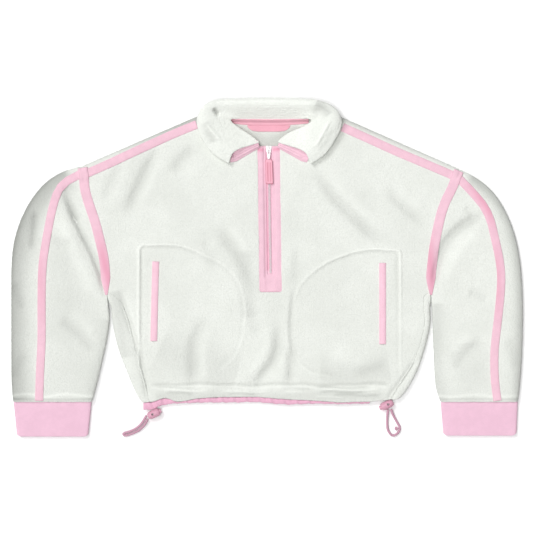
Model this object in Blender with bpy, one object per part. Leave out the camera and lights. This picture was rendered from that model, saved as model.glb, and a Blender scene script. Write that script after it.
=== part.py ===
"""Sherpa fleece half-zip pullover lying flat on its back, front up, collar towards +Y.

Sizes are in millimetres, and place() turns them into metres. _r is the wearer's right, at -X.
Two layers of fleece lie on each other. The back wraps forward over the sides and shoulders.
"""

import math

import bpy
import numpy as np
from mathutils import Vector, geometry
from mathutils.bvhtree import BVHTree

# Middle of the pullover's outline in these tables, which goes over the origin
MIDDLE = (-0.37, 0.95)

# Cloth
FLEECE = 5.5  # wall of the sherpa, with its pile
TOP = 12.5  # height of the two layers
FOLD_R = TOP / 2  # round edge where a layer folds back
GAP = 0.3  # between pieces
ARMHOLE_GAP = 0.55  # between the points of the curved armhole seams
TAPE_LIFT = 0.4  # of a tape over the points of the pile below it
TRIM = 1.2  # thickness of the pink tapes
GRID = 21.0  # spacing of the points inside a panel
BACK_GRID = 40.0  # and inside the flat back
ROUND_STEPS = 4  # faces round a folded edge

# Widths of the pink trims
SHOULDER_TAPE_W = 15.0
ARMHOLE_TAPE_W = 17.0
SLEEVE_TAPE_W = 14.5
WELT_W = 12.0

# Zip
PLACKET_W = 38.0
PLACKET_TOP_Y = 208.0
PLACKET_END_Y = -43.0
PLACKET_LEAN = 0.0138  # the placket runs this much to +X for each mm down
PLACKET_X = 2.4  # its centre at the top
ZIP_END_Y = -12.0
PLACKET_Z = 10.2
GROOVE_Z = 8.0
CHAIN_W = 5.0
CHAIN_Z = 10.6

# Cuffs
CUFF_WALL = 3.0
CUFF_TOP = 8.2
CUFF_PUFF = 0.8

# Collar
COLLAR_WALL = 8.0
COLLAR_STATIONS = 34
COLLAR_STEPS = 6

# Cord and its locks
CORD_D = 4.2
CORD_POINTS = 28
LOCK_HALF = 12.0
BUTTON_R = 3.7
BUTTON_LENGTH = 8.5
BORE_R = 4.2
BORE_DEPTH = 8.8
BUTTON_OUT = 3.8
HOLE_BACK = 1.4
HOLE_R = 2.1

# Side edges, hem to underarm, and how far the back shows on the front inside them
#    y, x of the edge, width of the back's flap
SIDE_R = (
    (-234.3, -218.4, 13.5),
    (-224.0, -226.4, 18.0),
    (-209.0, -233.0, 22.0),
    (-174.3, -247.4, 25.0),
    (-139.5, -260.2, 28.0),
    (-107.0, -268.0, 29.0),
    (-88.2, -270.2, 26.0),
    (-66.0, -272.6, 20.0),
)
SIDE_L = (
    (-229.5, 229.4, 15.0),
    (-221.0, 237.4, 17.0),
    (-209.0, 245.8, 16.5),
    (-192.0, 255.4, 15.0),
    (-171.0, 264.8, 12.5),
    (-147.4, 272.4, 10.5),
    (-121.3, 279.6, 10.0),
    (-95.0, 284.2, 10.0),
    (-66.0, 282.6, 11.0),
)

# Armhole seam, shoulder to underarm
#     x, y
ARMHOLE_R = (
    (-321.6, 176.3),
    (-318.9, 160.6),
    (-317.2, 138.0),
    (-312.0, 117.1),
    (-305.0, 96.2),
    (-298.1, 75.3),
    (-292.8, 54.5),
    (-287.6, 33.6),
    (-283.6, 12.7),
    (-281.5, -8.2),
    (-280.1, -29.1),
    (-277.8, -55.2),
)
ARMHOLE_L = (
    (333.6, 171.0),
    (328.3, 157.1),
    (321.4, 138.0),
    (310.9, 117.1),
    (303.1, 96.2),
    (297.9, 75.3),
    (293.5, 54.5),
    (289.7, 33.6),
    (287.3, 12.7),
    (284.8, -8.2),
    (283.8, -29.1),
    (284.8, -55.2),
)

# Neck: where the shoulder folds end, and the seams to the collar
NECK_POINT_R = (-92.0, 275.6)
NECK_POINT_L = (98.0, 274.9)
SHOULDER_FLAP = 10.2  # back panel in front of the shoulder fold, past the round edge
#     x, y
BACK_NECK = (
    (-76.0, 263.5),
    (-60.0, 257.0),
    (-36.0, 254.4),
    (2.1, 253.6),
    (40.0, 254.4),
    (66.0, 257.0),
    (82.0, 263.5),
)
FRONT_NECK_R = (
    (-17.2, 214.5),
    (-32.0, 225.0),
    (-47.0, 235.0),
    (-60.0, 243.5),
    (-72.0, 250.5),
    (-84.0, 255.5),
)
FRONT_NECK_L = (
    (21.6, 215.5),
    (31.0, 224.0),
    (49.0, 234.0),
    (72.0, 243.5),
    (84.0, 250.5),
    (92.0, 254.5),
)

# Hem of the front: where the fleece ends and how far the pink casing shows below it
#     x, y of the fleece edge, y of the casing's edge
HEM = (
    (-215.6, -235.4, -247.6),
    (-205.0, -234.6, -249.5),
    (-194.4, -233.0, -245.6),
    (-186.8, -228.0, -240.6),
    (-173.0, -226.4, -238.4),
    (-162.0, -233.2, -237.0),
    (-146.0, -232.8, -236.4),
    (-127.0, -228.6, -235.8),
    (-94.8, -225.8, -235.4),
    (-47.5, -225.2, -235.0),
    (-16.7, -225.2, -234.8),
    (30.8, -229.0, -238.6),
    (74.3, -231.0, -237.4),
    (109.1, -233.4, -237.6),
    (128.2, -235.0, -238.0),
    (150.9, -233.6, -237.4),
    (178.7, -233.6, -237.2),
)
HEM_STATIONS = 34
HEM_DIP = 1.0  # of the back's edge
CASING_BOTTOM = 5.9
CASING_TOP = 9.6

# Outer and inner edges of the sleeves, armhole to cuff seam
#     x, y
SLEEVE_OUTER_R = (
    (-346.8, 171.0),
    (-371.1, 160.6),
    (-395.5, 139.7),
    (-416.4, 110.1),
    (-432.0, 77.1),
    (-442.0, 42.3),
    (-445.1, 9.2),
    (-445.4, -56.9),
    (-445.4, -126.5),
    (-445.1, -204.8),
    (-442.5, -234.0),
)
SLEEVE_INNER_R = (
    (-274.0, -88.2),
    (-277.0, -117.8),
    (-284.4, -154.3),
    (-293.8, -194.4),
    (-299.6, -218.7),
    (-304.5, -234.0),
)
SLEEVE_OUTER_L = (
    (352.7, 162.3),
    (373.6, 150.2),
    (394.5, 131.0),
    (411.9, 103.2),
    (425.8, 71.9),
    (436.2, 33.6),
    (442.3, -13.4),
    (444.6, -65.6),
    (444.0, -126.5),
    (440.6, -196.1),
    (436.2, -234.0),
)
SLEEVE_INNER_L = (
    (287.2, -88.2),
    (288.0, -126.5),
    (289.4, -161.3),
    (290.6, -189.1),
    (293.7, -215.2),
    (301.0, -234.0),
)
#     outer x at the seam, inner x at the seam, outer x at the end, inner x at the end, y of the end
CUFF_R = (-441.6, -305.0, -435.5, -311.1, -294.4)
CUFF_L = (436.2, 301.0, 433.6, 305.7, -292.7)
CUFF_SEAM_Y = -234.4

# Middle of each pink tape
#     x, y
SHOULDER_TAPE_R = (
    (-309.0, 165.0),
    (-273.7, 180.6),
    (-218.0, 206.7),
    (-162.3, 231.9),
    (-128.0, 246.0),
)
SHOULDER_TAPE_L = (
    (319.4, 160.8),
    (283.1, 176.3),
    (227.4, 199.8),
    (171.7, 225.0),
    (136.0, 241.0),
)
ARMHOLE_TAPE_R = (
    (-320.5, 170.0),
    (-318.6, 158.0),
    (-317.2, 138.0),
    (-312.0, 117.1),
    (-305.0, 96.2),
    (-298.1, 75.3),
    (-292.8, 54.5),
    (-287.6, 33.6),
    (-283.6, 12.7),
    (-281.5, -8.2),
    (-280.6, -26.0),
    (-279.6, -46.0),
)
ARMHOLE_TAPE_L = (
    (331.6, 165.0),
    (327.6, 155.0),
    (321.4, 138.0),
    (310.9, 117.1),
    (303.1, 96.2),
    (297.9, 75.3),
    (293.5, 54.5),
    (289.7, 33.6),
    (287.3, 12.7),
    (284.9, -8.2),
    (284.0, -26.0),
    (284.4, -46.0),
)
SLEEVE_TAPE_R = (
    (-331.6, 158.4),
    (-346.0, 151.5),
    (-357.0, 142.5),
    (-365.9, 127.5),
    (-374.6, 96.2),
    (-380.7, 64.9),
    (-386.8, 30.1),
    (-390.8, -4.7),
    (-392.0, -56.9),
    (-392.0, -126.5),
    (-394.6, -178.7),
    (-396.4, -231.0),
)
SLEEVE_TAPE_L = (
    (339.6, 147.6),
    (354.0, 132.8),
    (366.0, 119.0),
    (378.8, 102.3),
    (388.4, 80.3),
    (395.3, 51.0),
    (402.3, 19.7),
    (406.4, -13.4),
    (404.9, -49.9),
    (399.3, -102.1),
    (394.5, -147.4),
    (395.3, -196.1),
    (399.8, -231.0),
)
WELT_R_LINE = ((-193.7, 10.1), (-195.6, -59.0), (-197.1, -128.2))
WELT_L_LINE = ((200.4, 7.5), (200.4, -60.0), (200.4, -133.5))

# Stitched outline of each pocket bag, a low ridge of the front
#     x, y
POCKET_R = (
    (-223.2, -187.4),
    (-223.2, 9.2),
    (-220.6, 35.3),
    (-204.1, 39.1),
    (-151.9, 37.9),
    (-108.4, 21.4),
    (-70.1, 0.5),
    (-47.5, -29.1),
    (-38.3, -67.3),
    (-39.7, -109.1),
    (-54.5, -152.6),
    (-82.3, -180.4),
)
POCKET_L = (
    (231.8, -178.7),
    (230.9, 9.2),
    (227.4, 27.5),
    (204.8, 31.0),
    (177.0, 31.8),
    (140.4, 24.0),
    (96.9, 4.9),
    (59.5, -28.2),
    (43.8, -68.2),
    (41.6, -112.6),
    (49.2, -157.1),
    (74.3, -182.2),
    (109.1, -190.0),
)
POCKET_RIDGE = 1.2
POCKET_RIDGE_W = 3.5
HEM_STITCH_Y = -203.0
HEM_STITCH_DEPTH = 1.6
HEM_STITCH_W = 5.0

# Largest folds, each a straight stretch of a soft trough (below 0) or ridge (above 0)
#     x from, y from, x to, y to, half width, rise
FOLDS = (
    (-192.0, 196.0, -215.4, 158.9, 10.0, -2.4),
    (-215.4, 158.9, -241.3, 92.7, 11.0, -2.4),
    (-236.0, 196.0, -262.0, 128.0, 16.0, 2.2),
    (-148.4, 184.1, -122.0, 200.0, 9.0, -1.4),
    (92.0, 158.0, 136.9, 106.7, 10.0, -1.8),
    (136.9, 106.7, 161.3, 87.5, 10.0, -1.8),
    (120.0, 150.0, 165.0, 108.0, 15.0, 1.8),
    (209.3, 162.3, 241.3, 136.2, 9.0, -2.2),
    (241.3, 136.2, 274.0, 78.0, 10.0, -2.4),
    (-96.2, -90.0, -127.5, -123.0, 10.0, -1.8),
    (-127.5, -123.0, -127.5, -214.0, 10.0, -2.4),
    (-104.0, -130.0, -102.0, -196.0, 12.0, 2.4),
    (-54.5, 40.5, -26.6, 9.2, 9.0, -1.0),
    (-30.0, -79.5, -12.0, -112.6, 9.0, -1.4),
    (18.6, -96.0, 16.9, -157.8, 9.0, -1.8),
    (16.9, -157.8, -14.4, -190.9, 9.0, -2.8),
    (-14.4, -190.9, -23.1, -218.0, 9.0, -2.8),
    (-6.0, -150.0, -38.0, -196.0, 10.0, 2.6),
    (43.0, -150.0, 37.0, -201.3, 9.0, -1.8),
    (110.0, -150.0, 180.0, -176.0, 16.0, 1.8),
    (363.0, 84.0, 333.6, 64.9, 9.0, -2.8),
    (333.6, 64.9, 312.7, 38.8, 9.0, -2.8),
    (350.0, 56.0, 326.0, 18.0, 12.0, 2.2),
    (345.8, 124.0, 341.0, 93.0, 9.0, -1.4),
    (349.0, -44.7, 385.8, -56.9, 11.0, -1.4),
    (335.3, -161.3, 373.6, -130.0, 11.0, -1.4),
    (-343.0, 118.0, -321.7, 62.0, 9.0, -2.6),
    (-321.7, 62.0, -300.0, 4.0, 9.0, -2.6),
    (-352.0, 60.0, -328.0, 0.0, 14.0, 2.2),
    (-355.5, -91.7, -306.8, -149.1, 12.0, -1.6),
    (-420.0, -32.0, -404.0, -56.0, 12.0, -1.4),
)
SLEEVE_PUFF = 2.0

# The collar's upper face from the neck seam over its crest to its free edge
#     inner x, y, z;  crest x, y, z;  edge x, y, z
COLLAR = (
    (-13.2, 217.0, 20.35, -60.4, 200.5, 28.0, -74.0, 177.2, 22.5),
    (-28.4, 229.0, 20.35, -75.0, 215.0, 29.5, -92.0, 191.4, 23.0),
    (-44.0, 238.8, 20.35, -88.0, 229.0, 31.0, -105.4, 210.0, 23.5),
    (-56.2, 247.6, 20.5, -100.4, 242.8, 32.5, -117.0, 229.0, 24.5),
    (-64.0, 253.6, 20.8, -108.6, 256.4, 34.0, -122.4, 249.0, 26.0),
    (-66.0, 256.5, 18.8, -109.4, 268.9, 35.0, -120.6, 267.6, 28.0),
    (-61.0, 257.6, 15.8, -101.3, 279.8, 36.0, -110.1, 282.4, 30.0),
    (-49.0, 257.4, 12.4, -84.5, 285.6, 36.5, -93.4, 292.8, 30.5),
    (-26.0, 256.3, 10.5, -40.3, 286.8, 36.5, -44.3, 295.8, 30.5),
    (2.1, 255.8, 10.0, 2.1, 287.1, 36.5, 2.1, 296.3, 30.5),
    (30.0, 256.3, 10.5, 44.3, 286.8, 36.5, 48.3, 295.8, 30.5),
    (56.0, 257.4, 12.4, 82.0, 285.6, 36.5, 92.0, 292.6, 30.5),
    (72.0, 257.9, 15.8, 106.0, 279.0, 36.0, 115.5, 280.6, 30.0),
    (79.0, 256.8, 18.8, 114.5, 268.0, 35.0, 126.8, 266.9, 28.0),
    (77.5, 253.4, 20.8, 115.6, 256.0, 34.0, 130.4, 251.0, 26.0),
    (66.0, 246.0, 20.5, 107.6, 242.5, 32.5, 124.2, 232.0, 24.5),
    (45.0, 237.2, 20.35, 94.5, 229.0, 31.0, 112.6, 213.0, 23.5),
    (27.0, 227.0, 20.35, 80.6, 212.6, 29.5, 98.4, 191.0, 23.0),
    (17.6, 217.0, 20.35, 66.0, 200.8, 28.0, 80.0, 176.4, 22.5),
)
# Pink facing at each front end of the collar: inner corner, outer corner and width at each
#     x, y, x, y, width, width
COLLAR_FACING_R = (-15.4, 215.6, -59.0, 199.2, 8.0, 16.0)
COLLAR_FACING_L = (19.8, 215.6, 64.4, 199.4, 8.0, 16.0)
FACING_WALL = 3.4

# Inside of the back neck
#     x, y of the lower edge, y of the upper edge
NECK_TAPE = (
    (-57.0, 249.4, 253.4),
    (-36.0, 247.4, 253.2),
    (2.1, 246.9, 252.6),
    (40.0, 247.4, 253.2),
    (63.0, 249.2, 253.4),
)
#     x from, x to, y of the straight top, y of the rounded bottom
NECK_PATCH = (-31.8, 36.9, 246.6, 235.6)
PATCH_FULLNESS = 1.3  # over 1 for a flatter bottom than a half ellipse

# Slider, pull and puller, about the hinge of the pull
HINGE_Y = 207.0
HINGE_Z = 13.1
SLIDER_W = 10.5
SLIDER_FROM_Y = 199.0
SLIDER_TO_Y = 211.4
SLIDER_BOTTOM = 10.9
SLIDER_TOP = 11.7
BRIDGE_W = 2.0
LINK_END_Y = 188.0
PULLER_TOP_Y = 187.6
PULLER_END_Y = 144.9
#     share of the length, half width, bottom z, top z
PULLER = (
    (0.0, 2.6, 12.3, 13.9),
    (0.10, 3.4, 11.6, 14.4),
    (0.22, 6.2, 11.2, 14.8),
    (0.60, 6.6, 11.0, 14.8),
    (0.92, 6.6, 11.0, 14.6),
    (1.0, 5.6, 11.3, 14.0),
)

# Cord locks: centre x, y, z, direction of the free end of the button in degrees from +X
LOCK_R = (-198.1, -255.1, 7.2, 25.0)
LOCK_L = (208.7, -238.8, 7.2, 205.0)
#     share of the half length, radius
LOCK_PROFILE = (
    (-0.82, 6.4),
    (-0.5, 7.0),
    (0.2, 7.0),
    (0.62, 6.2),
    (0.88, 4.4),
)

# Drawcord loops
#     x, y, z
CORD_R_OUT = (
    (-210.3, -258.0, 6.8),
    (-213.6, -263.8, 5.4),
    (-218.6, -271.6, 3.2),
    (-226.2, -279.0, 2.4),
    (-236.0, -284.4, 2.4),
    (-246.4, -287.6, 2.4),
    (-250.4, -290.0, 2.4),
    (-246.8, -292.4, 2.4),
    (-235.4, -289.4, 2.4),
    (-223.6, -283.6, 2.4),
    (-214.6, -275.2, 3.2),
    (-210.0, -268.0, 5.4),
    (-208.4, -263.9, 6.8),
)
CORD_L_OUT = (
    (209.9, -247.4, 6.4),
    (208.7, -259.1, 3.6),
    (208.6, -275.0, 2.4),
    (210.6, -284.6, 2.4),
    (216.6, -292.0, 2.4),
    (223.0, -291.4, 2.4),
    (229.0, -285.4, 2.4),
    (230.0, -277.6, 2.4),
    (225.4, -269.0, 2.4),
    (218.9, -257.1, 3.8),
    (215.1, -247.0, 6.0),
)
KNOT_L = (224.5, -280.4, 3.8)
KNOT_R_MM = 3.6

PINK = (0.90, 0.49, 0.60)
PINK_PULL = (0.86, 0.40, 0.52)
CREAM = (0.84, 0.85, 0.81)
METAL = (0.86, 0.86, 0.86)
CORD_PINK = (0.78, 0.44, 0.54)


def clear():
    for thing in list(bpy.data.objects):
        bpy.data.objects.remove(thing, do_unlink=True)


def material(name, colour, metallic=0.0):
    made = bpy.data.materials.get(name)
    if made is None:
        made = bpy.data.materials.new(name)
        made.use_nodes = True
        shader = made.node_tree.nodes["Principled BSDF"]
        shader.inputs["Base Color"].default_value = (*colour, 1.0)
        shader.inputs["Metallic"].default_value = metallic
        shader.inputs["Roughness"].default_value = 0.9 - 0.6 * metallic
    return made


def place(name, points, faces, look):
    """Makes one closed body of points in millimetres, with its faces turned outwards."""
    points = np.asarray(points, float)
    total = 0.0
    for face in faces:
        corner = points[face[0]]
        for second, third in zip(face[1:-1], face[2:]):
            total += np.dot(corner, np.cross(points[second], points[third]))
    if total < 0:
        faces = [tuple(reversed(face)) for face in faces]
    mesh = bpy.data.meshes.new(name)
    mesh.from_pydata([tuple(p) for p in points * 0.001], [], [tuple(f) for f in faces])
    mesh.update()
    mesh.materials.append(look)
    body = bpy.data.objects.new(name, mesh)
    bpy.context.scene.collection.objects.link(body)
    return body


def thick(name, upper, lower, faces, look):
    """A wall between two sides with the same faces, closed along every free edge."""
    count = len(upper)
    used = {}
    for face in faces:
        for a, b in zip(face, face[1:] + face[:1]):
            used[(a, b)] = True
    walls = []
    for a, b in used:
        if (b, a) not in used:
            walls.append((b, a, a + count, b + count))
    lower_faces = [tuple(i + count for i in reversed(face)) for face in faces]
    every = [tuple(face) for face in faces] + lower_faces + walls
    return place(name, np.concatenate([upper, lower]), every, look)


def smooth(points, count):
    """Points evenly spaced along a smooth curve through the given ones."""
    points = np.asarray(points, float)
    ends = np.vstack([2 * points[0] - points[1], points, 2 * points[-1] - points[-2]])
    fine = []
    for i in range(len(points) - 1):
        a, b, c, d = ends[i : i + 4]
        for t in np.arange(0, 1, 0.05):
            fine.append(
                0.5
                * (
                    2 * b
                    + (c - a) * t
                    + (2 * a - 5 * b + 4 * c - d) * t**2
                    + (3 * b - a - 3 * c + d) * t**3
                )
            )
    fine.append(points[-1])
    fine = np.array(fine)
    return evenly(fine, count)


def evenly(points, count, skip=0.0):
    """Points evenly spaced along a polyline, leaving out a length at each end."""
    points = np.asarray(points, float)
    steps = np.linalg.norm(np.diff(points, axis=0), axis=1)
    along = np.concatenate([[0], np.cumsum(steps)])
    wanted = np.linspace(skip, along[-1] - skip, count)
    return np.column_stack([np.interp(wanted, along, points[:, k]) for k in range(points.shape[1])])


def at_length(points, length):
    steps = np.linalg.norm(np.diff(points, axis=0), axis=1)
    along = np.concatenate([[0], np.cumsum(steps)])
    return np.array([np.interp(length, along, points[:, k]) for k in range(2)])


def unit(vector):
    return vector / np.linalg.norm(vector)


def right_of(points):
    """Unit vectors to the right of a path at each of its points."""
    ahead = np.gradient(points, axis=0)
    ahead /= np.linalg.norm(ahead, axis=1)[:, None]
    return np.column_stack([ahead[:, 1], -ahead[:, 0]])


def from_line(x, y, x1, y1, x2, y2):
    """Distance of points from a stretch of line."""
    dx = x2 - x1
    dy = y2 - y1
    share = np.clip(((x - x1) * dx + (y - y1) * dy) / (dx * dx + dy * dy), 0, 1)
    return np.hypot(x - x1 - share * dx, y - y1 - share * dy)


def top(x, y):
    """Height of the upper layer's outside."""
    height = TOP + 0.0 * x
    for x1, y1, x2, y2, width, rise in FOLDS:
        height = height + rise * np.exp(-((from_line(x, y, x1, y1, x2, y2) / width) ** 2))
    return np.clip(height, TOP - 3.0, TOP + 3.0)


def front_top(x, y):
    """Height of the front, with its stitched pocket outlines and hem channel."""
    height = top(x, y)
    for pocket in (POCKET_R, POCKET_L):
        line = smooth(pocket, 60)
        nearest = np.full(np.shape(x), 1e3)
        for a, b in zip(line[:-1], line[1:]):
            nearest = np.minimum(nearest, from_line(x, y, *a, *b))
        height = height + POCKET_RIDGE * np.exp(-((nearest / POCKET_RIDGE_W) ** 2))
    stitch = np.exp(-(((y - HEM_STITCH_Y) / HEM_STITCH_W) ** 2))
    return height - HEM_STITCH_DEPTH * stitch


def inside(x, y, outline):
    """Which points lie inside a closed outline."""
    found = np.zeros(np.shape(x), bool)
    for (x1, y1), (x2, y2) in zip(outline, np.roll(outline, -1, axis=0)):
        if y1 == y2:
            continue
        crosses = (y1 > y) != (y2 > y)
        found ^= crosses & (x < (x2 - x1) * (y - y1) / (y2 - y1) + x1)
    return found


def fill(outline, spacing, extra=()):
    """Points and triangles inside a closed outline, the outline's own points first."""
    outline = np.asarray(outline, float)
    low = outline.min(axis=0)
    high = outline.max(axis=0)
    rows = int((high[1] - low[1]) / (spacing * 0.87)) + 1
    candidates = [tuple(p) for line in extra for p in line]
    for row in range(rows):
        y = low[1] + (row + 0.5) * spacing * 0.87
        for x in np.arange(low[0] + spacing * (0.5 if row % 2 else 0.0), high[0], spacing):
            candidates.append((x, y))
    points = np.array(candidates)
    keep = inside(points[:, 0], points[:, 1], outline)
    near = np.full(len(points), 1e3)
    for a, b in zip(outline, np.roll(outline, -1, axis=0)):
        near = np.minimum(near, from_line(points[:, 0], points[:, 1], *a, *b))
    count = sum(len(line) for line in extra)
    room = np.where(np.arange(len(points)) < count, 1.5, 0.5 * spacing)
    keep &= near > room
    if count:
        own = points[:count]
        for i in np.nonzero(keep)[0]:
            if i >= count and np.min(np.hypot(*(own - points[i]).T)) < 0.35 * spacing:
                keep[i] = False
    every = np.vstack([outline, points[keep]])
    ring = list(range(len(outline)))
    made = geometry.delaunay_2d_cdt([Vector(p) for p in every], [], [ring], 1, 1e-5)
    back = [origin[0] for origin in made[3]]
    faces = [tuple(back[i] for i in face) for face in made[2]]
    return every, faces


def sheet(name, points, faces, upper_z, lower_z, look):
    upper = np.column_stack([points, upper_z])
    lower = np.column_stack([points, lower_z])
    return thick(name, upper, lower, faces, look)


class Side:
    """One folded edge of the back: bottom layer, round edge and flap on top."""

    def __init__(self, feet, outwards, flaps):
        self.feet = feet
        self.outwards = outwards
        self.flaps = flaps
        self.seam = feet - outwards * flaps[:, None]

    def rows(self):
        """Points of the outside and inside of each row past the feet, lists of equal length."""
        for foot, out, flap in zip(self.feet, self.outwards, self.flaps):
            height = float(top(foot[0], foot[1]))
            outer = []
            inner = []
            for step in range(1, ROUND_STEPS + 1):
                turn = math.pi * step / ROUND_STEPS
                reach = math.sin(turn)
                rise = (1 - math.cos(turn)) / 2
                outer.append((*(foot + out * FOLD_R * reach), height * rise))
                inner_z = FLEECE + (height - 2 * FLEECE) * rise
                inner.append((*(foot + out * (FOLD_R - FLEECE) * reach), inner_z))
            for share in (0.5, 1.0):
                spot = foot - out * flap * share
                z = float(top(spot[0], spot[1]))
                outer.append((*spot, z))
                inner.append((*spot, z - FLEECE))
            yield outer, inner


def side_edge(table, sign, armhole):
    """Feet of a side's fold, hem to underarm."""
    edge = smooth([(x, y, flap) for y, x, flap in table], 13)
    outline = edge[:, :2]
    away = right_of(outline) * sign
    # The cloth is cut straight across at the hem.
    away[0] = (sign, 0.0)
    away[1] = unit(away[0] + 2 * away[1])
    feet = outline - away * FOLD_R
    flaps = edge[:, 2] - FOLD_R
    whole = np.linalg.norm(np.diff(armhole, axis=0), axis=1).sum()
    corner = at_length(armhole, whole - FOLD_R)
    down = unit(at_length(armhole, whole) - at_length(armhole, whole - 2))
    middle = unit(down + away[-1])
    half = (corner + feet[-1]) / 2
    feet = np.vstack([feet, half, corner])
    away = np.vstack([away, middle, down])
    flaps = np.concatenate([flaps, [11.0, 7.0]])
    return feet, away, flaps


def shoulder_edge(armhole, neck_point, sign):
    """Feet of a shoulder's fold, armhole to neck."""
    corner = at_length(armhole, FOLD_R)
    up = unit(at_length(armhole, 0.0) - at_length(armhole, 2.0))
    line = unit(np.array(neck_point) - armhole[0])
    away = np.array([line[1], -line[0]]) * sign
    last = np.array(neck_point) - away * FOLD_R
    shares = np.array([0.0, 0.04, 0.1, 0.2, 0.34, 0.5, 0.66, 0.83, 1.0])
    feet = corner + (last - corner) * shares[:, None]
    turning = np.clip(1 - shares / 0.1, 0, 1)
    outwards = np.array([unit(up * part + away * (1 - part)) for part in turning])
    return feet, outwards, np.full(len(shares), SHOULDER_FLAP)


def shifted(points, amount):
    """A path moved to its left."""
    return points - right_of(points) * amount


def body(fleece):
    """The back, wrapped over its sides and shoulders, and the front between the seams."""
    holes = {}
    for key, table in (("r", ARMHOLE_R), ("l", ARMHOLE_L)):
        holes[key] = smooth(table, 120)
    # The body keeps a gap to the sleeve along the armhole.
    body_hole_r = shifted(holes["r"], ARMHOLE_GAP)
    body_hole_l = shifted(holes["l"], -ARMHOLE_GAP)
    right = Side(*side_edge(SIDE_L, 1, body_hole_l))
    left = Side(*side_edge(SIDE_R, -1, body_hole_r))
    shoulder_right = Side(*shoulder_edge(body_hole_l, NECK_POINT_L, 1))
    shoulder_left = Side(*shoulder_edge(body_hole_r, NECK_POINT_R, -1))

    def armhole_path(hole, start, end, count):
        """Points strictly between two lengths along an armhole, shoulder to underarm."""
        whole = np.linalg.norm(np.diff(hole, axis=0), axis=1).sum()
        lengths = np.linspace(start, whole - end, count + 2)[1:-1]
        return np.array([at_length(hole, length) for length in lengths])

    # Back: hem, right side, armhole, shoulder, neck, and down the left again.
    hem = np.linspace(left.feet[0], right.feet[0], 16)
    hem[:, 1] -= HEM_DIP * np.sin(np.linspace(0, math.pi, 16))
    pieces = (
        hem[:-1],
        right.feet[:-1],
        np.vstack([right.feet[-1:], armhole_path(body_hole_l, FOLD_R, FOLD_R, 14)[::-1]]),
        shoulder_right.feet,
        smooth(BACK_NECK, 14)[::-1],
        shoulder_left.feet[::-1],
        armhole_path(body_hole_r, FOLD_R, FOLD_R, 14),
        left.feet[::-1][:-1],
    )
    starts = np.concatenate([[0], np.cumsum([len(p) for p in pieces])])
    outline = np.vstack(pieces)
    points, faces = fill(outline, BACK_GRID)
    inner = [(x, y, FLEECE) for x, y in points]
    outer = [(x, y, 0.0) for x, y in points]
    total = len(outline)
    runs = (
        (right, [starts[1] + i for i in range(len(right.feet))]),
        (left, [(starts[7] + i) % total for i in range(len(left.feet))]),
        (shoulder_right, [starts[3] + i for i in range(len(shoulder_right.feet))]),
        (shoulder_left, [starts[5] + i for i in range(len(shoulder_left.feet))]),
    )
    for number, (side, feet) in enumerate(runs):
        rows = list(side.rows())
        if number in (1, 3):
            rows = rows[::-1]
        before = None
        for foot, (row_outer, row_inner) in zip(feet, rows):
            first = len(inner)
            outer += row_outer
            inner += row_inner
            line = [foot] + list(range(first, first + len(row_outer)))
            if before is not None:
                for j in range(len(line) - 1):
                    faces.append((line[j], before[j], before[j + 1], line[j + 1]))
            before = line
    thick("back_body", np.array(inner), np.array(outer), faces, fleece)

    # Front: between the seams, with a window for the zip's placket.
    seam_right = right.seam - right.outwards * GAP
    seam_left = left.seam - left.outwards * GAP
    over_right = shoulder_right.seam - shoulder_right.outwards * GAP
    over_left = shoulder_left.seam - shoulder_left.outwards * GAP
    edge = smooth(HEM, HEM_STATIONS)[:, :2]
    edge = edge[(edge[:, 0] > seam_left[0, 0] + 3) & (edge[:, 0] < seam_right[0, 0] - 3)]
    window = placket_window(GAP)
    side_end = FOLD_R + 7.0 + GAP
    shoulder_end = FOLD_R + SHOULDER_FLAP + GAP
    outline = np.vstack(
        (
            seam_left[:1],
            edge,
            seam_right,
            armhole_path(body_hole_l, shoulder_end, side_end, 16)[::-1],
            over_right,
            smooth(FRONT_NECK_L, 8)[::-1],
            window,
            smooth(FRONT_NECK_R, 8),
            over_left[::-1],
            armhole_path(body_hole_r, shoulder_end, side_end, 16),
            seam_left[::-1][:-1],
        )
    )
    ridges = []
    for pocket in (POCKET_R, POCKET_L):
        line = smooth(pocket, 28)
        ridges += [line, shifted(line, 6.0), shifted(line, -6.0)]
    across = np.arange(-195.0, 200.0, 22.0)
    for shift in (-8.0, 0.0, 8.0):
        ridges.append(np.column_stack([across, np.full(len(across), HEM_STITCH_Y + shift)]))
    points, faces = fill(outline, GRID, ridges)
    high = front_top(points[:, 0], points[:, 1])
    low = np.clip(high - FLEECE - 0.6 * np.clip(high - TOP, 0, 9), FLEECE + 0.7, 99)
    sheet("front_body", points, faces, high, low, fleece)
    return holes


def placket_x(y):
    return PLACKET_X + PLACKET_LEAN * (PLACKET_TOP_Y - y)


def placket_window(gap):
    """Edge of the placket's window: down its left side (+X), across and up, in the outline's order."""
    half = PLACKET_W / 2 + gap
    down = np.linspace(PLACKET_TOP_Y + 3.0, PLACKET_END_Y - gap, 12)
    first = np.column_stack([placket_x(down) + half, down])
    second = np.column_stack([placket_x(down) - half, down])[::-1]
    return np.vstack([first, second])


# Half circle of a folded edge from the bottom up, as shares of its radius and its height
FOLD_TURNS = [
    (math.sin(math.pi * step / ROUND_STEPS), (1 - math.cos(math.pi * step / ROUND_STEPS)) / 2)
    for step in range(1, ROUND_STEPS)
]


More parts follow.
